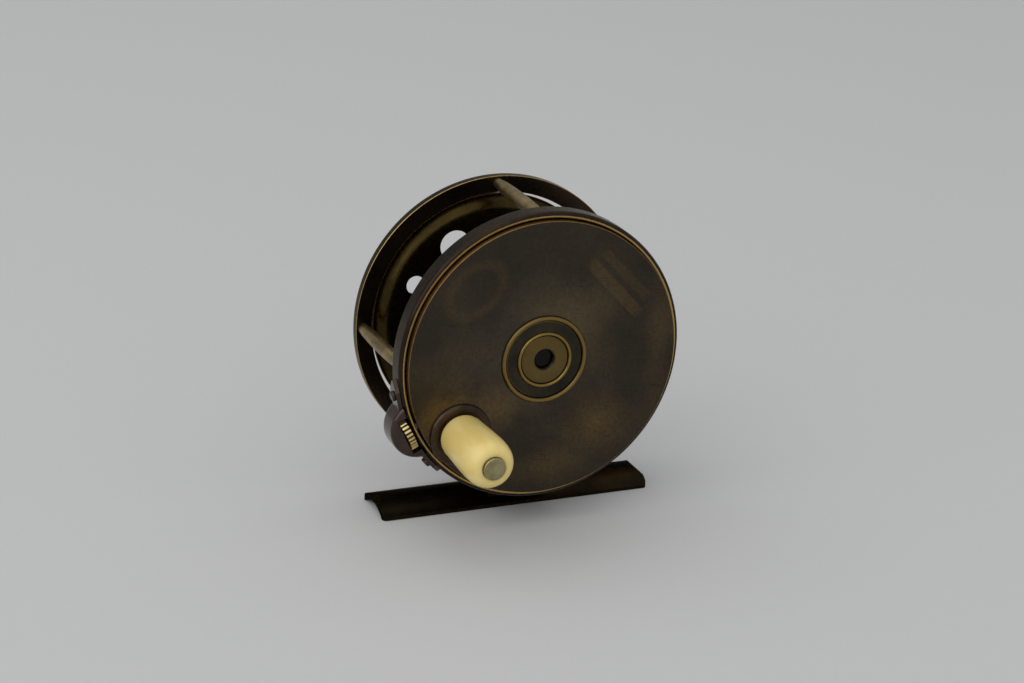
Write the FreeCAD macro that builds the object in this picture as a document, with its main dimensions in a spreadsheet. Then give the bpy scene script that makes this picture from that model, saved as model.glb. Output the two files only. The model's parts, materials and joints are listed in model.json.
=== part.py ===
import FreeCAD, Part
import math
import os

import Sketcher
from FreeCAD import Placement, Rotation, Vector

# A small all-brass fly reel with a revolving winding plate.
# Row frame, millimetres: the origin is on the crown of the rod seat, in the middle of the foot,
# +X runs along the rod, the winding plate and its handle face -Y, +Z is up.
# Places along the spindle are counted backwards from the front edge of the frame's rim.

doc = FreeCAD.newDocument("FlyReel")
sheet = doc.addObject("Spreadsheet::Sheet", "Sizes")


class Size:
    """A named size, or a sum of named sizes, as a number and as the sheet expression behind it."""

    def __init__(self, text, value):
        self.text = text
        self.value = value

    def joined(self, sign, other, value):
        return Size(f"({self.text} {sign} {other.text})", value)

    def __add__(self, other):
        other = as_size(other)
        return self.joined("+", other, self.value + other.value)

    def __sub__(self, other):
        other = as_size(other)
        return self.joined("-", other, self.value - other.value)

    def __mul__(self, other):
        other = as_size(other)
        return self.joined("*", other, self.value * other.value)

    def __truediv__(self, other):
        other = as_size(other)
        return self.joined("/", other, self.value / other.value)

    def __neg__(self):
        return Size(f"(0 - {self.text})", -self.value)


def as_size(number):
    return number if isinstance(number, Size) else Size(str(number), float(number))


def longest(first, second):
    """The larger of two sizes, also in the sheet."""
    return Size(f"max({first.text}; {second.text})", max(first.value, second.value))


sheet_rows = []


def size(name, value, meaning):
    """Write one driving dimension into the sheet and hand it back tied to its cell."""
    row = len(sheet_rows) + 1
    sheet_rows.append(name)
    sheet.set(f"A{row}", meaning)
    sheet.set(f"B{row}", str(value))
    sheet.setAlias(f"B{row}", name)
    return Size(f"Sizes.{name}", float(value))


# ---- driving dimensions ----

# Frame
ring_outer = size("ring_outer", 31.75, "outer radius of the frame's rings")
rim_wall = size("rim_wall", 1.35, "wall of the front rim")
rim_depth = size("rim_depth", 4.4, "front rim along the spindle, web included")
web_thickness = size("web_thickness", 0.8, "web that closes the back of the front rim")
cage_gap = size("cage_gap", 23.0, "clear width between the web and the rear ring")
rear_ring_width = size("rear_ring_width", 3.7, "rear ring's width, radially")
rear_thickness = size("rear_thickness", 1.9, "rear ring along the spindle")
rim_round = size("rim_round", 0.45, "rounding of the rings' outer corners")
pillar_inset = size("pillar_inset", 1.65, "pillars' centres inside the rings' outer edge")
pillar_end = size("pillar_end", 1.15, "radius of a pillar at its ends")
pillar_waist = size("pillar_waist", 1.5, "radius of a pillar at its swelled middle")
tenon = size("tenon", 0.8, "radius of a pillar's riveted tenon")

# Foot and saddle
rod_seat = size("rod_seat", 9.0, "radius of the rod seat that the foot straddles")
foot_wall = size("foot_wall", 1.3, "foot's thickness at its crown")
foot_length = size("foot_length", 62.0, "foot along the rod")
foot_width = size("foot_width", 13.2, "foot across the rod")
foot_hollow = size("foot_hollow", 1.9, "depth of the foot's hollow above its lands")
foot_centre = size("foot_centre", 16.2, "middle of the foot behind the front rim's edge")
foot_ramp = size("foot_ramp", 4.0, "length of the filed ramp at each end of the foot")
foot_drop = size("foot_drop", 0.9, "how far that ramp falls")
foot_corner = size("foot_corner", 1.0, "rounding of the foot's corners, seen from above")
saddle_gap = size("saddle_gap", 2.75, "from the foot's crown up to the rings")
neck_step = size("neck_step", 1.5, "saddle's neck is this much shorter at each end")
foot_screw_reach = size("foot_screw_reach", 4.6, "foot screws either side of the middle")
foot_screw_head = size("foot_screw_head", 1.7, "foot screw's countersunk head")
foot_screw_shank = size("foot_screw_shank", 0.95, "foot screw's shank")
foot_screw_sink = size("foot_screw_sink", 0.15, "foot screw's head above the seat's crown")
foot_screw_cone = size("foot_screw_cone", 0.75, "height of its countersunk head")
foot_screw_bite = size("foot_screw_bite", 0.9, "foot screw's reach into the saddle's bar")
saddle_length = size("saddle_length", 16.0, "saddle along the rod")
saddle_depth = size("saddle_depth", 3.1, "saddle's bar between the rings, radially")
saddle_neck = size("saddle_neck", 10.0, "saddle's neck across the rod")

# Bearing
spindle_radius = size("spindle_radius", 2.5, "spindle where it runs in the bush")
shoulder_step = size("shoulder_step", 0.7, "shoulder that the inner race sits against")
ball_radius = size("ball_radius", 1.19, "bearing ball")
ball_circle = size("ball_circle", 5.0, "radius of the circle of balls")
race_play = size("race_play", 0.04, "clearance between a ball and its track")
track_lip = size("track_lip", 0.6, "depth left open between the two races, each side of the balls")
race_height = size("race_height", 1.9, "outer race, from the balls' circle to its outside")
race_width = size("race_width", 3.2, "races along the spindle")
race_set_back = size("race_set_back", 2.5, "front of the races behind the web")
lock_ring = size("lock_ring", 1.6, "lock ring in front of the outer race, along the spindle")
bush_length = size("bush_length", 2.9, "bearing bush along the spindle")
housing_wall = size("housing_wall", 1.0, "wall of the bearing housing")
housing_lip = size("housing_lip", 0.8, "lip that stops the bush at the back")
housing_flange = size("housing_flange", 12.3, "radius of the housing's screwed flange")
housing_flange_thickness = size("housing_flange_thickness", 1.3, "that flange's thickness")
housing_screw_circle = size("housing_screw_circle", 10.4, "radius of its screws' circle")
running_play = size("running_play", 0.05, "radial clearance of a running fit")

# Winding plate
plate_gap = size("plate_gap", 0.4, "clearance between the winding plate and the rim")
plate_proud = size("plate_proud", 1.3, "plate's face in front of the rim's edge")
plate_thickness = size("plate_thickness", 1.0, "winding plate")
skirt_wall = size("skirt_wall", 0.8, "turned-down edge of the plate")
skirt_depth = size("skirt_depth", 1.8, "that edge along the spindle")
plate_round = size("plate_round", 0.3, "rounding of the plate's front corner")
boss_radius = size("boss_radius", 9.7, "raised centre boss")
boss_ring = size("boss_ring", 1.4, "width of its outer bead")
boss_height = size("boss_height", 0.65, "height of its outer bead above the face")
boss_inner = size("boss_inner", 5.9, "radius of its inner bead")
boss_inner_ring = size("boss_inner_ring", 0.8, "width of its inner bead")
boss_inner_height = size("boss_inner_height", 0.8, "height of its inner bead above the face")
boss_disc_height = size("boss_disc_height", 0.5, "height of its flat centre above the face")
boss_floor = size("boss_floor", 0.15, "metal under the channel, above the face")
oil_hole = size("oil_hole", 1.9, "countersunk oil hole in the centre")

# Handle
handle_inset = size("handle_inset", 6.4, "handle's centre inside the plate's edge")
handle_angle = size("handle_angle", 219.0, "handle's place round the plate, from +X towards +Z")
collar_radius = size("collar_radius", 6.9, "brass collar at the handle's foot")
collar_height = size("collar_height", 1.0, "that collar's height")
washer_thickness = size("washer_thickness", 0.3, "washer between the collar and the grip")
grip_foot = size("grip_foot", 5.0, "grip's radius at its foot")
grip_belly = size("grip_belly", 5.4, "grip's largest radius")
grip_length = size("grip_length", 17.8, "grip along its pin")
pin_radius = size("pin_radius", 1.5, "handle pin")
pin_head = size("pin_head", 2.45, "handle pin's head")
pin_head_height = size("pin_head_height", 1.3, "that head's height")
head_stand = size("head_stand", 0.6, "how far the head stands out of the grip")
head_play = size("head_play", 0.15, "end play of the grip under the pin's head")
recess_gap = size("recess_gap", 0.3, "clearance round the pin's head in the grip's end")

# Drum
drum_side_gap = size("drum_side_gap", 0.8, "clearance between the drum and the rear ring")
drum_gap = size("drum_gap", 0.5, "clearance between the web and the drum")
front_flange_thickness = size("front_flange_thickness", 0.7, "drum's front flange")
flange_thickness = size("flange_thickness", 1.0, "drum's rear flange")
flange_step = size("flange_step", 1.2, "rear flange's edge stands this far behind its middle")
flange_edge = size("flange_edge", 1.05, "width of that edge")
flange_slope = size("flange_slope", 1.6, "width of the slope up to it")
flange_set_back = size("flange_set_back", 0.4, "rear flange's middle behind the rear ring's front")
core_gap = size("core_gap", 0.5, "clearance between the bearing housing and the drum core")
core_wall = size("core_wall", 1.0, "wall of the core")
hole_count = size("hole_count", 5, "large holes in each flange, with as many small ones between")
large_hole = size("large_hole", 3.45, "radius of a large hole")
large_circle = size("large_circle", 19.0, "radius of the large holes' circle")
large_turn = size("large_turn", -25, "place of one large hole, from +X towards +Z").value
small_hole = size("small_hole", 2.1, "radius of a small hole")
small_circle = size("small_circle", 20.0, "radius of the small holes' circle")
plug_length = size("plug_length", 7.0, "plug inside the rear of the core")
plug_flange = size("plug_flange", 12.4, "plug's screwed flange")
plug_flange_thickness = size("plug_flange_thickness", 0.9, "that flange's thickness")
plug_screw_circle = size("plug_screw_circle", 10.9, "radius of the drum screws' circle")
spindle_thread = size("spindle_thread", 2.0, "threaded rear end of the spindle")
nut_radius = size("nut_radius", 4.2, "drum nut")
nut_height = size("nut_height", 1.6, "drum nut along the spindle")

# Check: ratchet, pawl and spring
ratchet_radius = size("ratchet_radius", 11.0, "ratchet's tips")
tooth_depth = size("tooth_depth", 0.9, "depth of its teeth")
tooth_count = size("tooth_count", 36, "ratchet teeth")
ratchet_thickness = size("ratchet_thickness", 1.4, "ratchet wheel")
ratchet_bore = size("ratchet_bore", 5.2, "ratchet's bore, round the spindle's flange")
ratchet_screw_circle = size("ratchet_screw_circle", 7.6, "radius of the ratchet screws' circle")
pawl_thickness = size("pawl_thickness", 1.0, "pawl along the spindle")
pawl_front = size("pawl_front", 0.1, "front of the pawl behind the rim's edge")
pawl_eye = size("pawl_eye", 1.3, "radius of the pawl's eye")
pawl_lead = size("pawl_lead", 1.3, "pawl pivot outside the ratchet's tips, if the housing allows")
pawl_side = size("pawl_side", 6.4, "pawl pivot, to the side of that line")
pivot_radius = size("pivot_radius", 0.7, "pawl's pivot screw")
nose_gap = size("nose_gap", 0.25, "pawl's nose clear of the bottom of a tooth space")
spring_thickness = size("spring_thickness", 0.3, "check spring")
spring_gap = size("spring_gap", 0.15, "spring's gap from the pawl's back at rest")
anchor_side = size("anchor_side", 11.0, "spring's anchor, to the side of the tension screw's line")
anchor_radius = size("anchor_radius", 1.4, "spring's anchor post")
anchor_front = size("anchor_front", 0.3, "front of the spring's anchor behind the rim's edge")
spring_tip = size("spring_tip", 3.2, "spring runs this far past the tension screw's line")

# Tension screw
tension_angle = size("tension_angle", 206.0, "tension screw's place round the rim, from +X towards +Z")
tension_depth = size("tension_depth", 1.9, "its axis behind the rim's edge")
wheel_radius = size("wheel_radius", 3.9, "knurled wheel")
wheel_thickness = size("wheel_thickness", 1.4, "knurled wheel along its axis")
wheel_gap = size("wheel_gap", 0.2, "wheel's end play in its housing")
knurl_count = size("knurl_count", 27, "ridges round the wheel")
stem_radius = size("stem_radius", 1.0, "tension screw's stem")
block_travel = size("block_travel", 1.2, "tension block's gap from the spring at rest")
block_length = size("block_length", 4.0, "tension block along its screw")
block_half = size("block_half", 2.0, "half the tension block's width")
housing_rise = size("housing_rise", 4.55, "top of the tension housing's bulge above the rim")
housing_half = size("housing_half", 6.1, "half the bulge's length along the rim")
pod_front = size("pod_front", 0.5, "housing's bulge stands this far in front of the rim's edge")
pod_back = size("pod_back", 5.3, "rear of the bulge behind the rim's edge")
strap_thickness = size("strap_thickness", 0.85, "housing's strap along the rim")
strap_width = size("strap_width", 3.6, "strap across the rim")
strap_reach = size("strap_reach", 21.5, "half the angle that the strap covers")
strap_screw = size("strap_screw", 15.5, "angle of each strap screw from the middle")
screw_shank = size("screw_shank", 0.6, "shank of the small screws")
screw_head = size("screw_head", 1.1, "head of the small screws")
screw_head_height = size("screw_head_height", 0.6, "height of those heads")

# Places worked out from the sizes above
axis_height = foot_wall + saddle_gap + ring_outer
seat_centre = -rod_seat
foot_crown = rod_seat + foot_wall
foot_screw_top = foot_wall + saddle_gap + foot_screw_bite
web_front = rim_depth - web_thickness
rear_front = rim_depth + cage_gap
rim_bore = ring_outer - rim_wall
rear_bore = ring_outer - rear_ring_width
pillar_circle = ring_outer - pillar_inset
plate_radius = rim_bore - plate_gap
plate_back = plate_thickness - plate_proud
handle_circle = plate_radius - handle_inset
spindle_shoulder = spindle_radius + shoulder_step
race_outer = ball_circle + race_height
race_front = rim_depth + race_set_back
bush_start = race_front + race_width
housing_end = bush_start + bush_length + housing_lip
hub_bore = race_outer + housing_wall
core_bore = hub_bore + core_gap
core_radius = core_bore + core_wall
drum_front = rim_depth + drum_gap
drum_radius = rear_bore - drum_side_gap
flange_back = rear_front + flange_set_back
pawl_out = longest(ratchet_radius + pawl_lead, housing_flange)
housing_crest = ring_outer + housing_rise
pieces = []


# ---- helpers ----

def keep(piece):
    """Put an object on the list of the reel's pieces. Its Label names its file."""
    pieces.append(piece)
    return piece


def place(piece, along, out=0, angle=0):
    """Place a piece by its distance behind the rim's edge and its place round the spindle."""
    along, out, angle = as_size(along), as_size(out), as_size(angle)
    piece.setExpression("Placement.Base.x", f"{out.text} * cos({angle.text})")
    piece.setExpression("Placement.Base.y", f"{along.text} - {foot_centre.text}")
    piece.setExpression("Placement.Base.z", f"{axis_height.text} + {out.text} * sin({angle.text})")


def radial(along, angle):
    """Placement whose X axis points outwards from the spindle at an angle, for a Part::Feature."""
    base = Vector(0, as_size(along).value - foot_centre.value, axis_height.value)
    return Placement(base, Rotation(Vector(0, -1, 0), as_size(angle).value))


def origin_part(body, role):
    return next(part for part in body.Origin.OriginFeatures if part.Role == role)


def tie(sketch, kind, geometry, point, distance):
    """Hold one point of a sketch at a distance from the sketch's origin."""
    if distance.value == 0:
        sketch.addConstraint(Sketcher.Constraint("PointOnObject", geometry, point,
                                                 -2 if kind == "DistanceX" else -1))
        return
    index = sketch.addConstraint(Sketcher.Constraint(kind, -1, 1, geometry, point, distance.value))
    sketch.setExpression(f"Constraints[{index}]", distance.text)


def outline(sketch, points):
    """Close a polygon through points that are pairs of sizes."""
    points = [(as_size(across), as_size(along)) for across, along in points]
    spots = [Vector(across.value, along.value, 0) for across, along in points]
    for index, spot in enumerate(spots):
        sketch.addGeometry(Part.LineSegment(spot, spots[(index + 1) % len(spots)]), False)
    for index, (across, along) in enumerate(points):
        sketch.addConstraint(Sketcher.Constraint("Coincident", index, 2, (index + 1) % len(spots), 1))
        tie(sketch, "DistanceX", index, 1, across)
        tie(sketch, "DistanceY", index, 1, along)


def sketch_on(body, name, plane):
    sketch = body.newObject("Sketcher::SketchObject", name)
    sketch.AttachmentSupport = [(origin_part(body, plane), "")]
    sketch.MapMode = "FlatFace"
    return sketch


def turned(name, points, start=0, out=0, angle=0):
    """A turned piece: an outline of (radius, distance along its axis) spun about its own Y axis."""
    body = doc.addObject("PartDesign::Body", name)
    sketch = sketch_on(body, name + "_outline", "XY_Plane")
    outline(sketch, points)
    spun = body.newObject("PartDesign::Revolution", name + "_turning")
    spun.Profile = sketch
    spun.ReferenceAxis = (sketch, ["V_Axis"])
    spun.Angle = 360
    body.Tip = spun
    place(body, start, out, angle)
    return body


def drill(body, name, radius, circle, count, turn=0):
    """Holes through a turned body, evenly spaced on a circle round its axis."""
    before = solid_volume(body)
    sketch = sketch_on(body, name + "_circle", "XZ_Plane")
    sketch.AttachmentOffset = Placement(Vector(), Rotation(Vector(0, 0, 1), turn))
    sketch.addGeometry(Part.Circle(Vector(circle.value, 0, 0), Vector(0, 0, 1), radius.value), False)
    sketch.addConstraint(Sketcher.Constraint("PointOnObject", 0, 3, -1))
    tie(sketch, "DistanceX", 0, 3, circle)
    index = sketch.addConstraint(Sketcher.Constraint("Radius", 0, radius.value))
    sketch.setExpression(f"Constraints[{index}]", radius.text)
    hole = body.newObject("PartDesign::Pocket", name)
    hole.Profile = sketch
    hole.Type = "ThroughAll"
    hole.Midplane = True
    ring = body.newObject("PartDesign::PolarPattern", name + "_ring")
    ring.Originals = [hole]
    ring.Axis = (origin_part(body, "Y_Axis"), [""])
    ring.Angle = 360
    ring.setExpression("Occurrences", as_size(count).text)
    body.Tip = ring
    doc.recompute()
    assert solid_volume(body) < before - 0.01, f"{name} cuts nothing"


def solid_volume(body):
    doc.recompute()
    return body.Shape.Volume


def soften(body, radius, size_of_edge):
    """Round the full-circle edges of one radius on a turned body."""
    doc.recompute()
    base = body.Tip
    names = [f"Edge{index + 1}" for index, edge in enumerate(base.Shape.Edges)
             if isinstance(edge.Curve, Part.Circle)
             and abs(edge.Curve.Radius - radius.value) < 1e-6 and edge.isClosed()]
    rounding = body.newObject("PartDesign::Fillet", body.Name + "_rounding" + str(len(body.Group)))
    rounding.Base = (base, names)
    rounding.setExpression("Radius", size_of_edge.text)
    body.Tip = rounding


def rod(name, radius, start, length, out=0, angle=0):
    """A plain cylinder along the spindle's direction, used as a piece or as a cutter."""
    cylinder = doc.addObject("Part::Cylinder", name)
    cylinder.setExpression("Radius", as_size(radius).text)
    cylinder.setExpression("Height", as_size(length).text)
    cylinder.Placement = Placement(Vector(), Rotation(Vector(1, 0, 0), -90))
    place(cylinder, start, out, angle)
    return cylinder


def group(name, members):
    """Several separate solids that make one node."""
    compound = doc.addObject("Part::Compound", name)
    compound.Links = members
    return compound


def cut(name, base, tools):
    """A piece with holes: base less every tool, each of which has to take something away."""
    doc.recompute()
    for tool in tools:
        assert base.Shape.common(tool.Shape).Volume > 1e-4, f"{tool.Name} cuts nothing from {name}"
    cutters = doc.addObject("Part::Compound", name + "_cutters")
    cutters.Links = tools
    result = doc.addObject("Part::Cut", name)
    result.Base = base
    result.Tool = cutters
    return result


def feature(name, shape, placement=None):
    """A piece whose shape comes from Part's own functions, with its sizes read from the sheet."""
    piece = doc.addObject("Part::Feature", name)
    piece.Shape = shape
    if placement is not None:
        piece.Placement = placement
    return piece


# ---- frame: pillars, rings and the bearing housing ----

pillar_places = {"pillar_right": 0, "pillar_top": 90, "pillar_left": 180}


def pillar(name, angle):
    """A barrel-shaped distance pillar with a riveted tenon at each end."""
    tail = web_thickness + cage_gap
    points = [(0, 0), (tenon, 0), (tenon, web_thickness), (pillar_end, web_thickness),
              (pillar_end, web_thickness + cage_gap * 0.05),
              (pillar_waist, web_thickness + cage_gap * 0.3),
              (pillar_waist, web_thickness + cage_gap * 0.7),
              (pillar_end, web_thickness + cage_gap * 0.95),
              (pillar_end, tail), (tenon, tail),
              (tenon, tail + rear_thickness), (0, tail + rear_thickness)]
    return keep(turned(name, points, web_front, pillar_circle, angle))


def pillar_holes(name):
    return [rod(f"{name}_{place_name}_hole", tenon, web_front - 1, cage_gap + rear_thickness + 3,
                pillar_circle, angle) for place_name, angle in pillar_places.items()]


for pillar_name, pillar_angle in pillar_places.items():
    pillar(pillar_name, pillar_angle)

# The saddle's two tenons at the foot of the frame, each riveted like a pillar's.
saddle_tenon_angles = {"left": 262, "right": 278}


def saddle_tenon(name, side, start, length):
    return rod(f"{name}_{side}_tenon", tenon, start, length, pillar_circle, saddle_tenon_angles[side])


front_blank = turned("front_frame_blank",
                     [(hub_bore, web_front), (rim_bore, web_front), (rim_bore, 0), (ring_outer, 0),
                      (ring_outer, rim_depth), (hub_bore, rim_depth)])
soften(front_blank, ring_outer, rim_round)
housing_screw_places = [45 + 90 * turn for turn in range(4)]


def radial_rod(name, radius, start, length, angle, sideways=0, along=tension_depth):
    """A cylinder that points outwards from the spindle at an angle round the rim."""
    start, length, sideways = as_size(start), as_size(length), as_size(sideways)
    shape = Part.makeCylinder(as_size(radius).value, length.value,
                              Vector(start.value, 0, sideways.value), Vector(1, 0, 0))
    return feature(name, shape, radial(along, angle))


def beside_line(across, sideways):
    """Distance from the spindle and angle of a point given beside the tension screw's line."""
    distance = math.hypot(across.value, sideways.value)
    turn = math.degrees(math.atan2(sideways.value, across.value))
    return distance, tension_angle.value + turn


pivot_distance, pivot_angle = beside_line(pawl_out, -pawl_side)
spring_inner = pawl_out + pawl_eye + spring_gap
anchor_out = spring_inner + spring_thickness + anchor_radius
anchor_distance, anchor_angle = beside_line(anchor_out, -anchor_side)
strap_middle = rim_depth / 2
web_tools = pillar_holes("front")
web_tools += [saddle_tenon("front", side, web_front - 1, 3) for side in saddle_tenon_angles]
web_tools += [rod(f"housing_screw_hole_{turn}", screw_shank, web_front - 1, 3,
                  housing_screw_circle, turn) for turn in housing_screw_places]
web_tools += [rod("pivot_hole", pivot_radius, web_front - 1, 3, pivot_distance, pivot_angle),
              rod("anchor_hole", screw_shank, web_front - 1, 3, anchor_distance, anchor_angle),
              radial_rod("stem_hole", stem_radius + running_play, rim_bore - 1, 3, tension_angle)]
web_tools += [radial_rod(f"strap_hole_{side}", screw_shank, rim_bore - 1, 3,
                         tension_angle + strap_screw * side, 0, strap_middle) for side in (-1, 1)]
keep(cut("front_frame", front_blank, web_tools))

rear_blank = turned("rear_ring_blank", [(rear_bore, 0), (ring_outer, 0),
                                        (ring_outer, rear_thickness), (rear_bore, rear_thickness)],
                    rear_front)
soften(rear_blank, ring_outer, rim_round)
rear_tools = pillar_holes("rear")
rear_tools += [saddle_tenon("rear", side, rear_front - 1, 4) for side in saddle_tenon_angles]
keep(cut("rear_ring", rear_blank, rear_tools))

housing_tube_bore = race_outer
housing_start = web_front - housing_flange_thickness
housing = turned("bearing_housing",
                 [(housing_tube_bore, 0), (housing_flange, 0),
                  (housing_flange, housing_flange_thickness), (hub_bore, housing_flange_thickness),
                  (hub_bore, housing_end - housing_start),
                  (ball_circle, housing_end - housing_start),
                  (ball_circle, housing_end - housing_start - housing_lip),
                  (housing_tube_bore, housing_end - housing_start - housing_lip)], housing_start)
drill(housing, "housing_screw_holes", screw_shank, housing_screw_circle, 4, 45)
keep(housing)


def small_screw(name, start, shank_end, out, angle, head_radius, head_height):
    """A cheese-headed screw along the spindle's direction: head towards the front, slotted."""
    body = turned(name, [(0, 0), (head_radius, 0), (head_radius, head_height),
                         (screw_shank, head_height), (screw_shank, shank_end), (0, shank_end)],
                  start, out, angle)
    slot = doc.addObject("Part::Box", name + "_slot")
    slot.setExpression("Length", (head_radius * 3).text)
    slot.setExpression("Width", (head_height * 0.5).text)
    slot.setExpression("Height", (head_radius * 0.3).text)
    place(slot, start, out, angle)
    slot.setExpression("Placement.Base.x", f"{as_size(out).text} * cos({as_size(angle).text})"
                                           f" - {(head_radius * 1.5).text}")
    slot.setExpression("Placement.Base.z", f"{axis_height.text} + {as_size(out).text}"
                                           f" * sin({as_size(angle).text}) - {(head_radius * 0.15).text}")
    return cut(name + "_slotted", body, [slot])


keep(group("bearing_housing_screws",
           [small_screw(f"housing_screw_{turn}", housing_start - screw_head_height,
                        screw_head_height + housing_flange_thickness + web_thickness,
                        housing_screw_circle, turn, screw_head, screw_head_height)
            for turn in housing_screw_places]))

# ---- bearing: races, balls, lock ring and bush ----

ball_line = race_front + race_width / 2
outer_blank = turned("outer_race_blank",
                     [(ball_circle + track_lip, 0), (race_outer, 0), (race_outer, race_width),
                      (ball_circle + track_lip, race_width)], race_front)
inner_blank = turned("inner_race_blank",
                     [(spindle_radius, 0), (ball_circle - track_lip, 0),
                      (ball_circle - track_lip, race_width), (spindle_radius, race_width)], race_front)


def track(name):
    """The rounded track that the balls roll in."""
    torus = doc.addObject("Part::Torus", name)
    torus.setExpression("Radius1", ball_circle.text)
    torus.setExpression("Radius2", (ball_radius + race_play).text)
    torus.Placement = Placement(Vector(), Rotation(Vector(1, 0, 0), 90))
    place(torus, ball_line)
    return torus


keep(cut("outer_race", outer_blank, [track("outer_track")]))
keep(cut("inner_race", inner_blank, [track("inner_track")]))

BALL_COUNT = 12


def ball(index):
    sphere = doc.addObject("Part::Sphere", f"ball_{index}")
    sphere.setExpression("Radius", ball_radius.text)
    place(sphere, ball_line, ball_circle, 360 * index / BALL_COUNT)
    return sphere


keep(group("race_balls", [ball(index) for index in range(BALL_COUNT)]))
keep(turned("race_lock_ring",
            [(ball_circle, 0), (race_outer, 0), (race_outer, lock_ring), (ball_circle, lock_ring)],
            race_front - lock_ring))
keep(turned("bearing_bush", [(spindle_radius + running_play, 0), (race_outer, 0),
                             (race_outer, bush_length), (spindle_radius + running_play, bush_length)],
            bush_start))

# ---- foot and saddle ----


def foot_shape():
    """A tile of arched section, hollow for the rod, whose ends are rounded and filed thin."""
    half = foot_length.value / 2
    along = Vector(1, 0, 0)
    shell = Part.makeCylinder(foot_crown.value, foot_length.value,
                              Vector(-half, 0, seat_centre.value), along)
    shell = shell.cut(Part.makeCylinder(rod_seat.value, foot_length.value,
                                        Vector(-half, 0, seat_centre.value), along))
    wide = foot_width.value
    deep = foot_hollow.value + foot_wall.value
    plan = Part.makeBox(foot_length.value, wide, deep,
                        Vector(-half, -wide / 2, -foot_hollow.value))
    corners = [edge for edge in plan.Edges if abs(edge.tangentAt(0).z) > 0.9]
    tile = shell.common(plan.makeFillet(foot_corner.value, corners))
    top = foot_wall.value
    ramp = foot_ramp.value
    drop = foot_drop.value
    bend = (ramp ** 2 + drop ** 2) / (2 * drop)
    rise = math.atan2(ramp, bend - drop) / 2
    for end in (-1, 1):
        start = Vector(end * (half - ramp), -wide, top)
        middle = start + Vector(end * bend * math.sin(rise), 0, bend * (math.cos(rise) - 1))
        finish = Vector(end * half, -wide, top - drop)
        above = Vector(end * half, -wide, top)
        filed = Part.Wire([Part.Arc(start, middle, finish).toShape(),
                           Part.makeLine(finish, above), Part.makeLine(above, start)])
        tile = tile.cut(Part.Face(filed).extrude(Vector(0, 2 * wide, 0)))
    return tile


def saddle_shape():
    """The bar between the rings, curved to the frame, with a neck down to the foot's crown."""
    bar_inner = ring_outer.value - saddle_depth.value
    centre = Vector(0, rim_depth.value - foot_centre.value, axis_height.value)
    bar = Part.makeCylinder(ring_outer.value, cage_gap.value, centre, Vector(0, 1, 0))
    bar = bar.cut(Part.makeCylinder(bar_inner, cage_gap.value, centre, Vector(0, 1, 0)))
    half = saddle_length.value / 2
    bar = bar.common(Part.makeBox(2 * half, cage_gap.value, ring_outer.value,
                                  Vector(-half, centre.y, 0)))
    top = axis_height.value - ring_outer.value + 1
    neck_half = half - neck_step.value
    neck = Part.makeBox(2 * neck_half, saddle_neck.value, top,
                        Vector(-neck_half, -saddle_neck.value / 2, 0))
    neck = neck.cut(Part.makeCylinder(bar_inner, cage_gap.value, centre, Vector(0, 1, 0)))
    saddle = bar.fuse(neck).removeSplitter()
    crown = Part.makeCylinder(foot_crown.value, 2 * half,
                              Vector(-half, 0, seat_centre.value), Vector(1, 0, 0))
    return saddle.cut(crown)


saddle_block = feature("saddle_block", saddle_shape())


def foot_screw_solid(side, extra):
    """A countersunk screw that rises from the hollow of the foot into the saddle."""
    spot = Vector(side * foot_screw_reach.value, 0, foot_screw_sink.value)
    cone = Part.makeCone(foot_screw_head.value, foot_screw_shank.value, foot_screw_cone.value, spot)
    shank = Part.makeCylinder(foot_screw_shank.value, foot_screw_top.value - spot.z, spot)
    solid = cone.fuse(shank)
    if extra:
        solid = solid.fuse(Part.makeCylinder(foot_screw_head.value, 2, spot - Vector(0, 0, 2)))
    return solid.removeSplitter()


foot_blank = feature("foot_blank", foot_shape())
foot_holes = [feature(f"foot_hole_{side}", foot_screw_solid(side, True)) for side in (-1, 1)]
keep(cut("foot", foot_blank, foot_holes))
saddle_holes = [feature(f"saddle_hole_{side}", foot_screw_solid(side, False)) for side in (-1, 1)]
bored_saddle = cut("bored_saddle", saddle_block, saddle_holes)
saddle_tenons = [saddle_tenon("saddle_front", side, web_front, web_thickness + 0.5)
                 for side in saddle_tenon_angles]
saddle_tenons += [saddle_tenon("saddle_rear", side, rear_front - 0.5, rear_thickness + 0.5)
                  for side in saddle_tenon_angles]
saddle = doc.addObject("Part::MultiFuse", "foot_saddle")
saddle.Shapes = [bored_saddle] + saddle_tenons
keep(saddle)


def driver_slot(side):
    slot = Part.makeBox(4, 0.5, 0.5, Vector(side * foot_screw_reach.value - 2, -0.25,
                                            foot_screw_sink.value - 0.2))
    return feature(f"foot_screw_slot_{side}", slot)


keep(group("foot_screws",
           [cut(f"foot_screw_{side}", feature(f"foot_screw_body_{side}", foot_screw_solid(side, False)),
                [driver_slot(side)]) for side in (-1, 1)]))

# ---- spool: winding plate, boss, spindle and ratchet ----

plate = turned("winding_plate",
               [(boss_inner, 0), (plate_radius, 0), (plate_radius, skirt_depth),
                (plate_radius - skirt_wall, skirt_depth), (plate_radius - skirt_wall, plate_thickness),
                (boss_inner, plate_thickness)], -plate_proud)
soften(plate, plate_radius, plate_round)
drill(plate, "plate_screw_holes", screw_shank, ratchet_screw_circle, 3, 30)
pin_hole = rod("pin_hole", pin_radius, -plate_proud - 1, 3, handle_circle, handle_angle)
keep(cut("handle_plate", plate, [pin_hole]))

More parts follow.
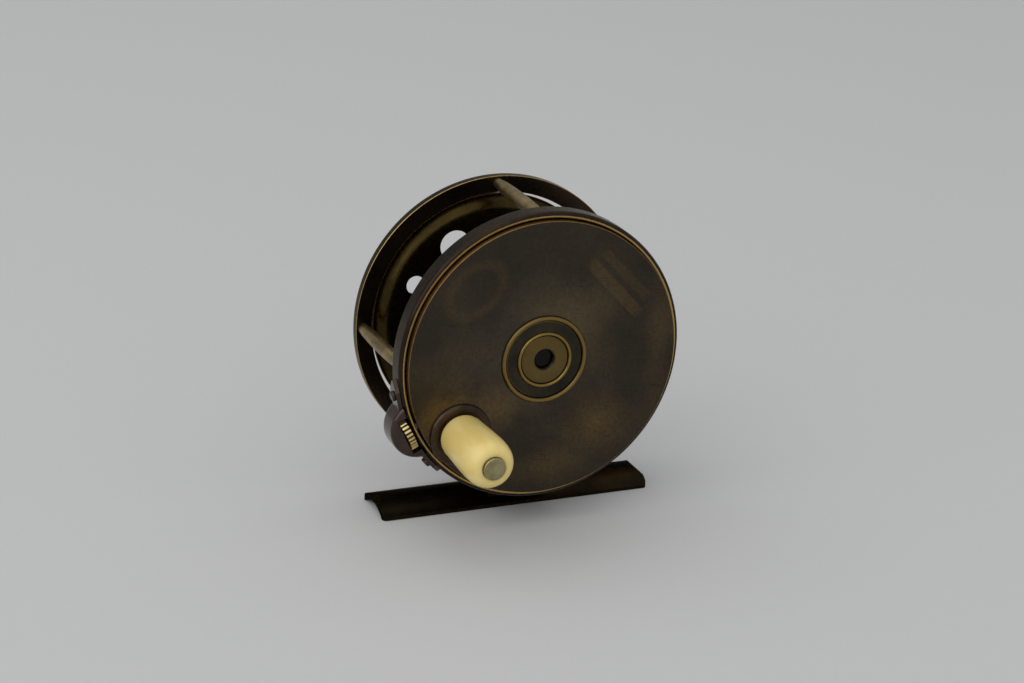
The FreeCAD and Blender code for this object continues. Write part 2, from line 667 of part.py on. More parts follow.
boss_front = boss_inner_height
boss_depth = boss_inner_height + plate_thickness
boss = turned("centre_boss",
              [(0, boss_front - boss_disc_height + 1.2),
               (oil_hole, boss_front - boss_disc_height),
               (boss_inner - boss_inner_ring, boss_front - boss_disc_height),
               (boss_inner - boss_inner_ring * 0.75, 0), (boss_inner - boss_inner_ring * 0.25, 0),
               (boss_inner, boss_front - boss_floor * 2),
               (boss_inner + 0.7, boss_front - boss_floor),
               (boss_radius - boss_ring - 0.4, boss_front - boss_floor),
               (boss_radius - boss_ring, boss_front - boss_height * 0.5),
               (boss_radius - boss_ring * 0.7, boss_front - boss_height),
               (boss_radius - boss_ring * 0.3, boss_front - boss_height),
               (boss_radius, boss_front - boss_height * 0.45), (boss_radius, boss_front),
               (boss_inner, boss_front), (boss_inner, boss_depth), (0, boss_depth)],
              -plate_proud - boss_inner_height)
keep(boss)

spindle_flange = 0.9
spindle_start = plate_back
plug_back = flange_back + flange_thickness + plug_flange_thickness
spindle_end = plug_back + nut_height + 0.1 - spindle_start
keep(turned("spindle",
            [(0, 0), (ratchet_bore, 0), (ratchet_bore, spindle_flange),
             (spindle_shoulder, spindle_flange), (spindle_shoulder, race_front - spindle_start),
             (spindle_radius, race_front - spindle_start),
             (spindle_radius, flange_back - spindle_start - 0.6),
             (spindle_thread, flange_back - spindle_start - 0.6),
             (spindle_thread, spindle_end), (0, spindle_end)], spindle_start))


def ratchet_shape():
    """A wheel of symmetrical teeth, with a tooth space on the tension screw's line."""
    tip = ratchet_radius.value
    root = tip - tooth_depth.value
    pitch = 2 * math.pi / tooth_count.value
    spots = []
    for tooth in range(int(tooth_count.value)):
        middle = tooth * pitch
        for share, radius in ((-0.10, root), (0.10, root), (0.40, tip), (0.60, tip)):
            turn = middle + share * pitch
            spots.append(Vector(radius * math.cos(turn), 0, radius * math.sin(turn)))
    spots.append(spots[0])
    thick = Vector(0, ratchet_thickness.value, 0)
    wheel = Part.Face(Part.makePolygon(spots)).extrude(thick)
    return wheel.cut(Part.makeCylinder(ratchet_bore.value, ratchet_thickness.value,
                                       Vector(), Vector(0, 1, 0)))


ratchet_blank = feature("ratchet_blank", ratchet_shape(), radial(plate_back, tension_angle))
ratchet_screw_places = [30 + 120 * turn for turn in range(3)]
ratchet_holes = [rod(f"ratchet_hole_{turn}", screw_shank, plate_back - 0.5, 3,
                     ratchet_screw_circle, turn) for turn in ratchet_screw_places]
keep(cut("ratchet_wheel", ratchet_blank, ratchet_holes))


def rear_screw(name, start, length, out, angle):
    """A headed screw driven in from behind: shank forwards from its head."""
    return turned(name, [(0, 0), (screw_shank, 0), (screw_shank, length),
                         (screw_head, length), (screw_head, length + screw_head_height),
                         (0, length + screw_head_height)], start, out, angle)


keep(group("ratchet_screws",
           [rear_screw(f"ratchet_screw_{turn}", -plate_proud, plate_thickness + ratchet_thickness,
                       ratchet_screw_circle, turn) for turn in ratchet_screw_places]))

# ---- spool: drum ----

front_flange = turned("drum_front_flange",
                      [(core_radius, 0), (drum_radius, 0), (drum_radius, front_flange_thickness),
                       (core_radius, front_flange_thickness)], drum_front)
rear_flange = turned("drum_rear_flange",
                     [(core_radius, 0), (drum_radius - flange_edge - flange_slope, 0),
                      (drum_radius - flange_edge, flange_step), (drum_radius, flange_step),
                      (drum_radius, flange_step + flange_thickness),
                      (drum_radius - flange_edge, flange_step + flange_thickness),
                      (drum_radius - flange_edge - flange_slope, flange_thickness),
                      (core_radius, flange_thickness)], flange_back)
for flange, flange_name in ((front_flange, "front"), (rear_flange, "rear")):
    drill(flange, flange_name + "_large_holes", large_hole, large_circle, hole_count, large_turn)
    drill(flange, flange_name + "_small_holes", small_hole, small_circle, hole_count,
          large_turn + 180 / hole_count.value)
drill(rear_flange, "rear_screw_holes", screw_shank, plug_screw_circle, 4, 45)
keep(front_flange)
keep(rear_flange)
core_length = flange_back + flange_thickness - drum_front
keep(turned("drum_core", [(core_bore, 0), (core_radius, 0), (core_radius, core_length),
                          (core_bore, core_length)], drum_front))
plug = turned("drum_plug",
              [(spindle_radius, 0), (core_bore, 0), (core_bore, plug_length),
               (plug_flange, plug_length), (plug_flange, plug_length + plug_flange_thickness),
               (spindle_thread, plug_length + plug_flange_thickness), (spindle_thread, plug_length - 1.5),
               (spindle_radius, plug_length - 1.5)],
              flange_back + flange_thickness - plug_length)
drill(plug, "plug_screw_holes", screw_shank, plug_screw_circle, 4, 45)
keep(plug)
keep(group("drum_screws",
           [rear_screw(f"drum_screw_{turn}", flange_back, plug_back - flange_back,
                       plug_screw_circle, turn) for turn in housing_screw_places]))
nut_blank = turned("drum_nut_blank", [(spindle_thread, 0), (nut_radius, 0), (nut_radius, nut_height),
                                      (spindle_thread, nut_height)], plug_back)
nut_slot = doc.addObject("Part::Box", "nut_slot")
nut_slot.setExpression("Length", (nut_radius * 3).text)
nut_slot.setExpression("Width", nut_height.text)
nut_slot.Height = 0.9
nut_slot.setExpression("Placement.Base.x", (-nut_radius * 1.5).text)
nut_slot.setExpression("Placement.Base.y", (plug_back + nut_height * 0.5 - foot_centre).text)
nut_slot.setExpression("Placement.Base.z", (axis_height - 0.45).text)
keep(cut("drum_nut", nut_blank, [nut_slot]))

# ---- handle ----

collar_front = -plate_proud - collar_height
keep(turned("handle_collar",
            [(pin_radius, 0), (collar_radius - 0.9, 0), (collar_radius, collar_height * 0.45),
             (collar_radius, collar_height), (pin_radius, collar_height)],
            collar_front, handle_circle, handle_angle))
keep(turned("handle_washer",
            [(pin_radius, 0), (grip_foot - 0.4, 0), (grip_foot - 0.4, washer_thickness),
             (pin_radius, washer_thickness)],
            collar_front - washer_thickness, handle_circle, handle_angle))
grip_front = collar_front - washer_thickness - head_play - grip_length
recess_radius = pin_head + recess_gap
recess_depth = pin_head_height - head_stand + head_play
keep(turned("handle_grip",
            [(pin_radius + running_play, recess_depth), (recess_radius, recess_depth),
             (recess_radius, grip_belly * 0.04), (grip_belly * 0.64, 0),
             (grip_belly * 0.76, grip_belly * 0.08), (grip_belly * 0.87, grip_belly * 0.23),
             (grip_belly * 0.95, grip_belly * 0.45), (grip_belly * 0.99, grip_belly * 0.75),
             (grip_belly, grip_length * 0.33), (grip_belly * 0.97, grip_length * 0.55),
             (grip_foot * 1.01, grip_length * 0.8), (grip_foot, grip_length - 0.3),
             (grip_foot - 0.3, grip_length), (pin_radius + running_play, grip_length)],
            grip_front + head_play / 2, handle_circle, handle_angle))
pin_front = grip_front - head_stand
pin_length = plate_back - pin_front
keep(turned("handle_pin",
            [(0, 0), (pin_head * 0.8, 0), (pin_head, pin_head_height * 0.2),
             (pin_head, pin_head_height), (pin_radius, pin_head_height),
             (pin_radius, pin_length), (0, pin_length)], pin_front, handle_circle, handle_angle))

# ---- check: pawl, pivot and spring ----


def pawl_shape():
    """A lever with a round eye and a pointed nose that drops between two ratchet teeth."""
    pivot = Vector(pawl_out.value, 0, -pawl_side.value)
    thick = Vector(0, pawl_thickness.value, 0)
    back = pawl_out.value + pawl_eye.value
    face = pawl_out.value - 0.3
    tip = ratchet_radius.value - tooth_depth.value + nose_gap.value
    spots = [Vector(face, 0, pivot.z), Vector(face, 0, -0.9), Vector(tip, 0, 0),
             Vector(face, 0, 0.9), Vector(face, 0, 2.4), Vector(back, 0, 2.4),
             Vector(back, 0, pivot.z), Vector(face, 0, pivot.z)]
    lever = Part.Face(Part.makePolygon(spots)).extrude(thick)
    eye = Part.makeCylinder(pawl_eye.value, pawl_thickness.value, pivot, Vector(0, 1, 0))
    hole = Part.makeCylinder(pivot_radius.value + running_play.value, pawl_thickness.value,
                             pivot, Vector(0, 1, 0))
    return lever.fuse(eye).removeSplitter().cut(hole)


keep(feature("check_pawl", pawl_shape(), radial(pawl_front, tension_angle)))
pawl_rest = pawl_front + pawl_thickness + 0.05
keep(turned("pawl_pivot",
            [(0, 0), (pivot_radius, 0), (pivot_radius, pawl_rest - pawl_front),
             (pawl_eye, pawl_rest - pawl_front), (pawl_eye, web_front - pawl_front),
             (pivot_radius, web_front - pawl_front), (pivot_radius, rim_depth - pawl_front),
             (0, rim_depth - pawl_front)], pawl_front, pivot_distance, pivot_angle))
keep(turned("spring_anchor",
            [(0, 0), (anchor_radius, 0), (anchor_radius, web_front - anchor_front),
             (screw_shank, web_front - anchor_front), (screw_shank, rim_depth - anchor_front),
             (0, rim_depth - anchor_front)], anchor_front, anchor_distance, anchor_angle))


def spring_shape():
    """A flat strip soldered along its anchor's side, lying behind the pawl."""
    length = anchor_side.value + anchor_radius.value + spring_tip.value
    return Part.makeBox(spring_thickness.value, pawl_thickness.value, length,
                        Vector(spring_inner.value, 0, -anchor_side.value - anchor_radius.value))


keep(feature("check_spring", spring_shape(), radial(pawl_front + 0.2, tension_angle)))

# ---- tension screw ----

wheel_inner = ring_outer + wheel_gap
wheel_outer = wheel_inner + wheel_thickness
block_inner = spring_inner + spring_thickness + block_travel
block_reach = web_front - tension_depth - 0.15


def wheel_shape():
    """A disc with sawn ridges round its rim, pierced for its stem."""
    start = Vector(wheel_inner.value, 0, 0)
    disc = Part.makeCylinder(wheel_radius.value, wheel_thickness.value, start, Vector(1, 0, 0))
    grooves = []
    groove_radius = math.pi * wheel_radius.value / knurl_count.value / 2
    for ridge in range(int(knurl_count.value)):
        turn = 2 * math.pi * ridge / knurl_count.value
        spot = start + Vector(-0.1, wheel_radius.value * math.cos(turn),
                              wheel_radius.value * math.sin(turn))
        grooves.append(Part.makeCylinder(groove_radius, wheel_thickness.value + 0.2,
                                         spot, Vector(1, 0, 0)))
    stem = Part.makeCylinder(stem_radius.value, wheel_thickness.value, start, Vector(1, 0, 0))
    return disc.cut(Part.makeCompound(grooves)).cut(stem)


keep(feature("tension_wheel", wheel_shape(), radial(tension_depth, tension_angle)))
stem_inner = block_inner + 0.6
stem_outer = wheel_outer + 1.2
keep(radial_rod("tension_stem", stem_radius, stem_inner, stem_outer - stem_inner, tension_angle))


def block_shape():
    """The nut that the tension screw drives against the spring."""
    depth_front = tension_depth.value - pawl_front.value - 0.2
    blank = Part.makeBox(block_length.value, depth_front + block_reach.value, 2 * block_half.value,
                         Vector(block_inner.value, -depth_front, -block_half.value))
    bore = Part.makeCylinder(stem_radius.value + running_play.value, block_length.value,
                             Vector(block_inner.value, 0, 0), Vector(1, 0, 0))
    return blank.cut(bore)


keep(feature("tension_block", block_shape(), radial(tension_depth, tension_angle)))



def tension_housing_shape():
    """A strap along the rim, pointed at both ends, with a bulge that hides the knurled wheel."""
    ring = ring_outer.value
    along = Vector(0, 1, 0)
    crest = housing_crest.value - ring
    bulge_radius = (crest ** 2 + housing_half.value ** 2) / (2 * crest)
    deep = pod_front.value + pod_back.value
    front = Vector(0, -pod_front.value, 0)
    bulge = Part.makeCylinder(bulge_radius, deep,
                              front + Vector(housing_crest.value - bulge_radius, 0, 0), along)
    beyond = Part.makeBox(housing_crest.value, deep, 4 * housing_half.value,
                          front + Vector(ring * 0.9, 0, -2 * housing_half.value))
    bulge = bulge.common(beyond)
    edges = [edge for edge in bulge.Edges if isinstance(edge.Curve, Part.Circle)]
    bulge = bulge.makeFillet(0.9, edges)
    strap = Part.makeCylinder(ring + strap_thickness.value, rim_depth.value, Vector(), along)
    reach = math.radians(strap_reach.value) * ring
    half = strap_width.value / 2
    middle = strap_middle.value
    spots = [(-reach, 0.3), (-reach + 2.2, half), (reach - 2.2, half), (reach, 0.3),
             (reach, -0.3), (reach - 2.2, -half), (-reach + 2.2, -half), (-reach, -0.3)]
    wires = [Vector(0, middle + across, side) for side, across in spots]
    plan = Part.Face(Part.makePolygon(wires + [wires[0]])).extrude(Vector(ring * 1.2, 0, 0))
    housing = bulge.fuse(strap.common(plan))
    housing = housing.cut(Part.makeCylinder(ring, deep + 2, front - along, along))
    room = wheel_radius.value + wheel_gap.value
    pocket = Part.makeCylinder(room, wheel_thickness.value + 2 * wheel_gap.value + 1,
                               Vector(ring - 1, tension_depth.value, 0), Vector(1, 0, 0))
    slot = Part.makeBox(wheel_thickness.value + 2 * wheel_gap.value + 1, room + tension_depth.value,
                        2 * room, Vector(ring - 1, tension_depth.value - room - tension_depth.value,
                                         -room))
    bore = Part.makeCylinder(stem_radius.value + running_play.value,
                             stem_outer.value - ring, Vector(ring, tension_depth.value, 0),
                             Vector(1, 0, 0))
    housing = housing.cut(pocket).cut(slot).cut(bore)
    for side in (-1, 1):
        turn = math.radians(strap_screw.value * side)
        outwards = Vector(math.cos(turn), 0, math.sin(turn))
        housing = housing.cut(Part.makeCylinder(screw_shank.value, 4, outwards * (ring - 1) +
                                                along * middle, outwards))
    return housing.removeSplitter()


keep(feature("tension_housing", tension_housing_shape(), radial(0, tension_angle)))


def strap_screw_shape():
    """A round-headed slotted screw that holds one end of the strap to the rim."""
    start = Vector(rim_bore.value, 0, 0)
    outwards = Vector(1, 0, 0)
    seat = ring_outer.value + strap_thickness.value
    shank = Part.makeCylinder(screw_shank.value, seat - rim_bore.value, start, outwards)
    head = Part.makeCylinder(screw_head.value, screw_head_height.value, Vector(seat, 0, 0), outwards)
    crest = [edge for edge in head.Edges if edge.CenterOfMass.x > seat + screw_head_height.value / 2
             and isinstance(edge.Curve, Part.Circle)]
    head = head.makeFillet(screw_head_height.value * 0.7, crest)
    slot = Part.makeBox(0.35, 0.35, 4, Vector(seat + screw_head_height.value - 0.3, -0.175, -2))
    return shank.fuse(head).removeSplitter().cut(slot)


keep(group("tension_housing_screws",
           [feature(f"strap_screw_{side}", strap_screw_shape(),
                    radial(strap_middle, tension_angle + strap_screw * side)) for side in (-1, 1)]))

# ---- check the document and write every piece ----

doc.recompute()
for item in doc.Objects:
    assert not {"Invalid", "Error"} & set(item.State), f"{item.Label} failed: {item.State}"
for piece in pieces:
    shape = piece.Shape
    assert not shape.isNull() and shape.isValid() and shape.Volume > 0, f"{piece.Label} is not sound"
    for solid in shape.Solids:
        assert solid.isClosed(), f"{piece.Label} is open"

os.makedirs("parts", exist_ok=True)
for piece in pieces:
    piece.Shape.exportStep(f"parts/{piece.Label}.step")
    print(piece.Label, round(piece.Shape.Volume, 2), len(piece.Shape.Solids))
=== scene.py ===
# %% [markdown]
# # A brass fly reel
# The reel is a drum inside an open cage. The drum's spindle runs in a ball race in the front
# plate, and a winding plate with one handle closes the front. Nearly everything is brass that has
# gone dark with age. The grip is ivorine, the pillars and the handle's pin are nickel silver, and
# the works inside are steel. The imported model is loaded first, because it says where every piece
# sits and what turns.

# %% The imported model
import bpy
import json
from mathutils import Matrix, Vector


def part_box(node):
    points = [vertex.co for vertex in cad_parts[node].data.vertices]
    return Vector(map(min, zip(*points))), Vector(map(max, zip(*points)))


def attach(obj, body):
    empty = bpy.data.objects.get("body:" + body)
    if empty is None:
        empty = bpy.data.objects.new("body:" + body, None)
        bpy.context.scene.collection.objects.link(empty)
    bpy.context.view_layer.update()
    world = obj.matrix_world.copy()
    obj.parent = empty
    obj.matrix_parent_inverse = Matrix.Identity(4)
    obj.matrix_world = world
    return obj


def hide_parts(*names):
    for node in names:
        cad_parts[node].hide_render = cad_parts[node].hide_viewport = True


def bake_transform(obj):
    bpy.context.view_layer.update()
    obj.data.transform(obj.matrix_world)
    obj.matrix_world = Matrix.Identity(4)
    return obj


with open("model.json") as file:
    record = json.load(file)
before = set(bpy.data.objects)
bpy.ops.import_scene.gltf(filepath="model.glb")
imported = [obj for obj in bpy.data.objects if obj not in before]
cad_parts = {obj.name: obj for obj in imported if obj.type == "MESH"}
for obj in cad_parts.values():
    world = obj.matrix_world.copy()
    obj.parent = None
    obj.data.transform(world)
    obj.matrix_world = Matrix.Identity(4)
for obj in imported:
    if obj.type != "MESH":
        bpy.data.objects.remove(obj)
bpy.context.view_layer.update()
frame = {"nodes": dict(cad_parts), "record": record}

import json
import math
import bmesh
import bpy
from mathutils import Matrix, Vector

MM = 0.001

# %% [markdown]
# ## Where the reel stands
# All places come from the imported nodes. The front frame gives the spindle's height and the plane
# of the rim's front edge, and the foot gives the level of the table.

# %% Reference places
frame_low, frame_high = (Vector(corner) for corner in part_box("front_frame"))
SPINDLE = Vector(((frame_low.x + frame_high.x) / 2, 0, (frame_low.z + frame_high.z) / 2))
RIM_FRONT = frame_low.y
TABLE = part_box("foot")[0][2]
record_joints = {joint["name"]: joint for joint in frame["record"]["behaviour"]["joints"]}
print("spindle", SPINDLE, "rim", RIM_FRONT, "table", TABLE)

# %% [markdown]
# ## The camera
# A product shot of something this small is taken from about half a metre with a long lens, so the
# rings stay nearly circular. The camera is placed by the two angles that it looks along, its
# roll, its distance from the middle of the rim, and the little by which it aims beside that
# point.

# %% Camera
VIEW_AZIMUTH = math.radians(-22.92)
VIEW_ELEVATION = math.radians(20.07)
VIEW_ROLL = math.radians(2.23)
VIEW_DISTANCE = 556.5 * MM
AIM_SIDE = -6.22 * MM
AIM_UP = 3.27 * MM
LENS = 93.2


def place_camera():
    """Camera that looks at the rim's centre from the two view angles."""
    back = Vector((math.sin(VIEW_AZIMUTH) * math.cos(VIEW_ELEVATION),
                   -math.cos(VIEW_AZIMUTH) * math.cos(VIEW_ELEVATION),
                   math.sin(VIEW_ELEVATION)))
    level = Vector((0, 0, 1)).cross(back).normalized()
    upright = back.cross(level)
    side = level * math.cos(VIEW_ROLL) + upright * math.sin(VIEW_ROLL)
    up = upright * math.cos(VIEW_ROLL) - level * math.sin(VIEW_ROLL)
    target = Vector((SPINDLE.x, RIM_FRONT, SPINDLE.z))
    spot = target + back * VIEW_DISTANCE + side * AIM_SIDE + up * AIM_UP
    camera_data = bpy.data.cameras.new("camera")
    camera_data.lens = LENS
    camera_data.sensor_width = 36
    camera_data.clip_start = 0.01
    camera = bpy.data.objects.new("camera", camera_data)
    bpy.context.scene.collection.objects.link(camera)
    camera.matrix_world = Matrix((
        (side.x, up.x, back.x, spot.x),
        (side.y, up.y, back.y, spot.y),
        (side.z, up.z, back.z, spot.z),
        (0, 0, 0, 1)))
    bpy.context.scene.camera = camera
    return camera


camera = place_camera()
print("camera", camera.location)

# %% [markdown]
# ## Colours and nodes
# Paint and patina are named by their sRGB hex codes, as a colour chart gives them. Blender works
# in linear light, so one function turns a code into that. A second small function adds any
# shader node with its settings and its inputs, which keeps every material to a few lines.

# %% Colour helper


def srgb(code, alpha=1.0):
    """Linear colour of an sRGB hex code."""
    shares = [int(code[place:place + 2], 16) / 255 for place in (1, 3, 5)]
    return [share / 12.92 if share <= 0.04045 else ((share + 0.055) / 1.055) ** 2.4
            for share in shares] + [alpha]


print("mid grey is", round(srgb("#808080")[0], 3), "in linear light")

# %% Node helper


def add(tree, kind, settings=None, inputs=None):
    """Add one node. An input is a value, an output, or a node that gives its first output."""
    node = tree.nodes.new(kind)
    for name, value in (settings or {}).items():
        setattr(node, name, value)
    for name, value in (inputs or {}).items():
        if isinstance(value, bpy.types.Node):
            value = next(socket for socket in value.outputs if socket.enabled)
        if isinstance(value, bpy.types.NodeSocket):
            tree.links.new(value, node.inputs[name])
        else:
            node.inputs[name].default_value = value
    return node


def blank_material(name):
    """A new material with its node tree and its empty surface shader."""
    material = bpy.data.materials.new(name)
    material.use_nodes = True
    tree = material.node_tree
    return material, tree, tree.nodes["Principled BSDF"]


# %% [markdown]
# ## Bronzed brass
# The frame, foot and fittings were brass dipped in a bronzing bath. The bath left a thin brown
# oxide, darker in the corners and rubbed through to yellow metal along every edge that a hand or
# a pocket touches. Each mesh carries a "wear" value: 1 along its outside corners, -1 in its
# inside corners and 0 elsewhere. The material breaks that up with a noise as fine as the bath's
# own specks, so the bright lines are uneven as they are on old metal, and it darkens the inside
# corners with painted shade and grime. One function makes every brass, because they differ only
# in their colours, the size of their clouds and their shine.

# %% Patina colour
GRAIN_MM = 0.8


def patina_colour(tree, spots, cloud, grain, wear, deep, brown, painted_sheen):
    """Clouds of two browns broken by fine specks, with painted shade and grime below zero wear, and
    any painted sheen.
    """
    depth = add(tree, "ShaderNodeMapRange", None,
                {"Value": cloud, "From Min": 0.32, "From Max": 0.68})
    patina = add(tree, "ShaderNodeMix", {"data_type": "RGBA"},
                 {"Factor": depth, "A": srgb(deep), "B": srgb(brown)})
    speck = add(tree, "ShaderNodeMapRange", None,
                {"Value": grain, "From Min": 0.3, "From Max": 0.7, "To Min": 0.82, "To Max": 1.16})
    # Painted shade and grime: where the wear is below zero, in inside corners and the oil hole, the
    # patina darkens to a quarter.
    shade_and_grime = add(tree, "ShaderNodeMapRange", None,
                {"Value": wear, "From Min": -0.8, "From Max": 0.0, "To Min": 0.25, "To Max": 1.0})
    level = add(tree, "ShaderNodeMath", {"operation": "MULTIPLY"}, {0: speck, 1: shade_and_grime})
    # A painted sheen, where one is given, brightens the patina.
    if painted_sheen is not None:
        level = add(tree, "ShaderNodeMath", {"operation": "MULTIPLY"},
                    {0: level, 1: painted_sheen(tree, spots, cloud)})
    return add(tree, "ShaderNodeVectorMath", {"operation": "SCALE"},
               {0: patina.outputs["Result"], "Scale": level})


# %% Worn mask
BARE_FROM, BARE_TO = 0.5, 1.0


def worn_mask(tree, spots, cloud, grain, wear, rubbed):
    """How far each point is worn to bare metal, with an uneven line at the limit."""
    ragged = add(tree, "ShaderNodeMath", {"operation": "MULTIPLY_ADD"}, {0: grain, 1: 1.0, 2: -0.5})
    reach = add(tree, "ShaderNodeMath", {"operation": "ADD"}, {0: wear, 1: ragged})
    mask = add(tree, "ShaderNodeMapRange", {"interpolation_type": "SMOOTHSTEP"},
               {"Value": reach, "From Min": BARE_FROM, "From Max": BARE_TO})
    if rubbed is not None:
        mask = add(tree, "ShaderNodeMath", {"operation": "MAXIMUM"},
                   {0: mask, 1: rubbed(tree, spots, cloud, grain)})
    return mask


# %% Patinated brass


def patinated_brass(name, deep, brown, worn, patina_mm=9.0, sheen=(0.26, 0.40), metal=0.75,
                    rubbed=None, painted_sheen=None):
    """Brass under a brown patina, with its corners worn through to the metal."""
    material, tree, surface = blank_material(name)
    spots = add(tree, "ShaderNodeTexCoord").outputs["Object"]
    cloud = add(tree, "ShaderNodeTexNoise", None,
                {"Vector": spots, "Scale": 1 / (patina_mm * MM), "Detail": 5.0, "Roughness": 0.6})
    grain = add(tree, "ShaderNodeTexNoise", None,
                {"Vector": spots, "Scale": 1 / (GRAIN_MM * MM), "Detail": 6.0, "Roughness": 0.62})
    wear = add(tree, "ShaderNodeAttribute", {"attribute_name": "wear"}).outputs["Fac"]
    mottled = patina_colour(tree, spots, cloud, grain, wear, deep, brown, painted_sheen)
    mask = worn_mask(tree, spots, cloud, grain, wear, rubbed)
    colour = add(tree, "ShaderNodeMix", {"data_type": "RGBA"},
                 {"Factor": mask, "A": mottled, "B": srgb(worn)})
    dull = add(tree, "ShaderNodeMapRange", None,
               {"Value": grain, "From Min": 0.3, "From Max": 0.7,
                "To Min": sheen[0], "To Max": sheen[1]})
    bright = add(tree, "ShaderNodeMapRange", None, {"Value": mask, "To Min": metal, "To Max": 1.0})
    relief = add(tree, "ShaderNodeBump", None,
                 {"Height": grain, "Strength": 0.10, "Distance": 0.04 * MM})
    tree.links.new(colour.outputs["Result"], surface.inputs["Base Color"])
    tree.links.new(dull.outputs["Result"], surface.inputs["Roughness"])
    tree.links.new(bright.outputs["Result"], surface.inputs["Metallic"])
    tree.links.new(relief.outputs["Normal"], surface.inputs["Normal"])
    return material


# %% Brass finishes
# Bronzed rings: nearly black, with a cool sheen, a little brown and yellow edges.
bronzed_brass = patinated_brass("bronzed_brass", "#1c1813", "#33261a", "#b0935a",
                                sheen=(0.18, 0.30))
# The foot spends its life under the rod's bands, so its bronzing is the thickest.
foot_brass = patinated_brass("foot_brass", "#1c1911", "#2b2216", "#8f7442", patina_mm=8.0,
                             sheen=(0.26, 0.42), metal=0.95)
# The drum was only lacquered. The brass under it went olive brown.
drum_brass = patinated_brass("drum_brass", "#2a2213", "#43371b", "#94763c", patina_mm=7.0,
                             sheen=(0.20, 0.34), metal=0.92)
# The collar under the grip is polished by its turning.
collar_brass = patinated_brass("collar_brass", "#2a221a", "#4a3926", "#a8814e", patina_mm=4.0,
                               sheen=(0.16, 0.28))
# The cast housing has a hard glossy bronzing, browner than the rings'.
housing_brass = patinated_brass("housing_brass", "#2b2019", "#4c3629", "#a58a52", patina_mm=5.0,
                                sheen=(0.10, 0.20))
print("brass finishes", [finish.name for finish in
                         (bronzed_brass, foot_brass, drum_brass, collar_brass, housing_brass)])

# %% [markdown]
# ## Glint and gloss
# Seen at a low angle, any surface turns into a mirror that shows white. Thick patina keeps some
# of its own brown even there, so the dark finishes tint that glint, the foot and the drum more
# than the rings. The housing also has a thin hard coat, which gives it small sharp highlights.

# %% Glint and coat
HOUSING_COAT = 0.4
HOUSING_COAT_ROUGHNESS = 0.08


def shader_of(material):
    """The surface shader of a finish."""
    return material.node_tree.nodes["Principled BSDF"]


GLINTS = ((bronzed_brass, "#e8e4dc"), (foot_brass, "#8f7b60"), (drum_brass, "#b39d5c"))
for finish, glint in GLINTS:
    shader_of(finish).inputs["Specular Tint"].default_value = srgb(glint)
shader_of(housing_brass).inputs["Coat Weight"].default_value = HOUSING_COAT
shader_of(housing_brass).inputs["Coat Roughness"].default_value = HOUSING_COAT_ROUGHNESS
print("tinted glints on", len(GLINTS), "finishes")

# %% [markdown]
# ## The winding plate's finish
# The plate is handled more than anything else on the reel. Its bronzing is thin and even, with a
# golden bloom where the winding hand brushes past the handle, and it is covered with fine
# scratches from years of wiping. Three panels on it, an oval, a double bar and a rounded patch,
# have lost most of their bronzing. All of this is colour and shine with no depth of its own, so
# it is drawn as masks on the plate's face. Each mask starts from a place on the plate, and says
# how much of the brown is gone there.
# Round the boss the plate's brown is also brightened, which is a painted sheen.

# %% A place on the plate


def flat_place(tree, spots, right_mm, up_mm, turn, half_wide_mm, half_high_mm):
    """Position on the plate, counted from a centre in half widths and half heights."""
    moved = add(tree, "ShaderNodeMapping", {"vector_type": "TEXTURE"},
                {"Vector": spots,
                 "Location": (SPINDLE.x + right_mm * MM, 0, SPINDLE.z + up_mm * MM),
                 "Rotation": (0, -math.radians(turn), 0),
                 "Scale": (half_wide_mm * MM, 1.0, half_high_mm * MM)})
    return add(tree, "ShaderNodeVectorMath", {"operation": "MULTIPLY"},
               {0: moved, 1: (1.0, 0.0, 1.0)})


# %% Shapes of the worn patches


def round_patch(tree, spots, cloud, place, strength, ragged=1.3):
    """A soft patch with a wandering rim."""
    away = add(tree, "ShaderNodeVectorMath", {"operation": "LENGTH"},
               {0: flat_place(tree, spots, *place)})
    away = add(tree, "ShaderNodeMath", {"operation": "MULTIPLY_ADD"},
               {0: cloud, 1: -ragged, 2: away.outputs["Value"]})
    return add(tree, "ShaderNodeMapRange", {"interpolation_type": "SMOOTHSTEP"},
               {"Value": away, "From Min": 0.55, "From Max": -0.6, "To Max": strength})


def bar_patch(tree, spots, cloud, place, strength):
    """A straight-sided panel."""
    split = add(tree, "ShaderNodeSeparateXYZ", None, {"Vector": flat_place(tree, spots, *place)})
    across = add(tree, "ShaderNodeMath", {"operation": "ABSOLUTE"}, {0: split.outputs["X"]})
    upward = add(tree, "ShaderNodeMath", {"operation": "ABSOLUTE"}, {0: split.outputs["Z"]})
    away = add(tree, "ShaderNodeMath", {"operation": "MAXIMUM"}, {0: across, 1: upward})
    away = add(tree, "ShaderNodeMath", {"operation": "MULTIPLY_ADD"}, {0: cloud, 1: -0.5, 2: away})
    return add(tree, "ShaderNodeMapRange", {"interpolation_type": "SMOOTHSTEP"},
               {"Value": away, "From Min": 0.85, "From Max": 0.55, "To Max": strength})


def ring_patch(tree, spots, place, strength):
    """The worn border of an oval panel."""
    away = add(tree, "ShaderNodeVectorMath", {"operation": "LENGTH"},
               {0: flat_place(tree, spots, *place)})
    away = add(tree, "ShaderNodeMath", {"operation": "SUBTRACT"},
               {0: away.outputs["Value"], 1: 0.82})
    away = add(tree, "ShaderNodeMath", {"operation": "ABSOLUTE"}, {0: away})
    return add(tree, "ShaderNodeMapRange", {"interpolation_type": "SMOOTHSTEP"},
               {"Value": away, "From Min": 0.26, "From Max": 0.02, "To Max": strength})


# %% Where the plate is worn


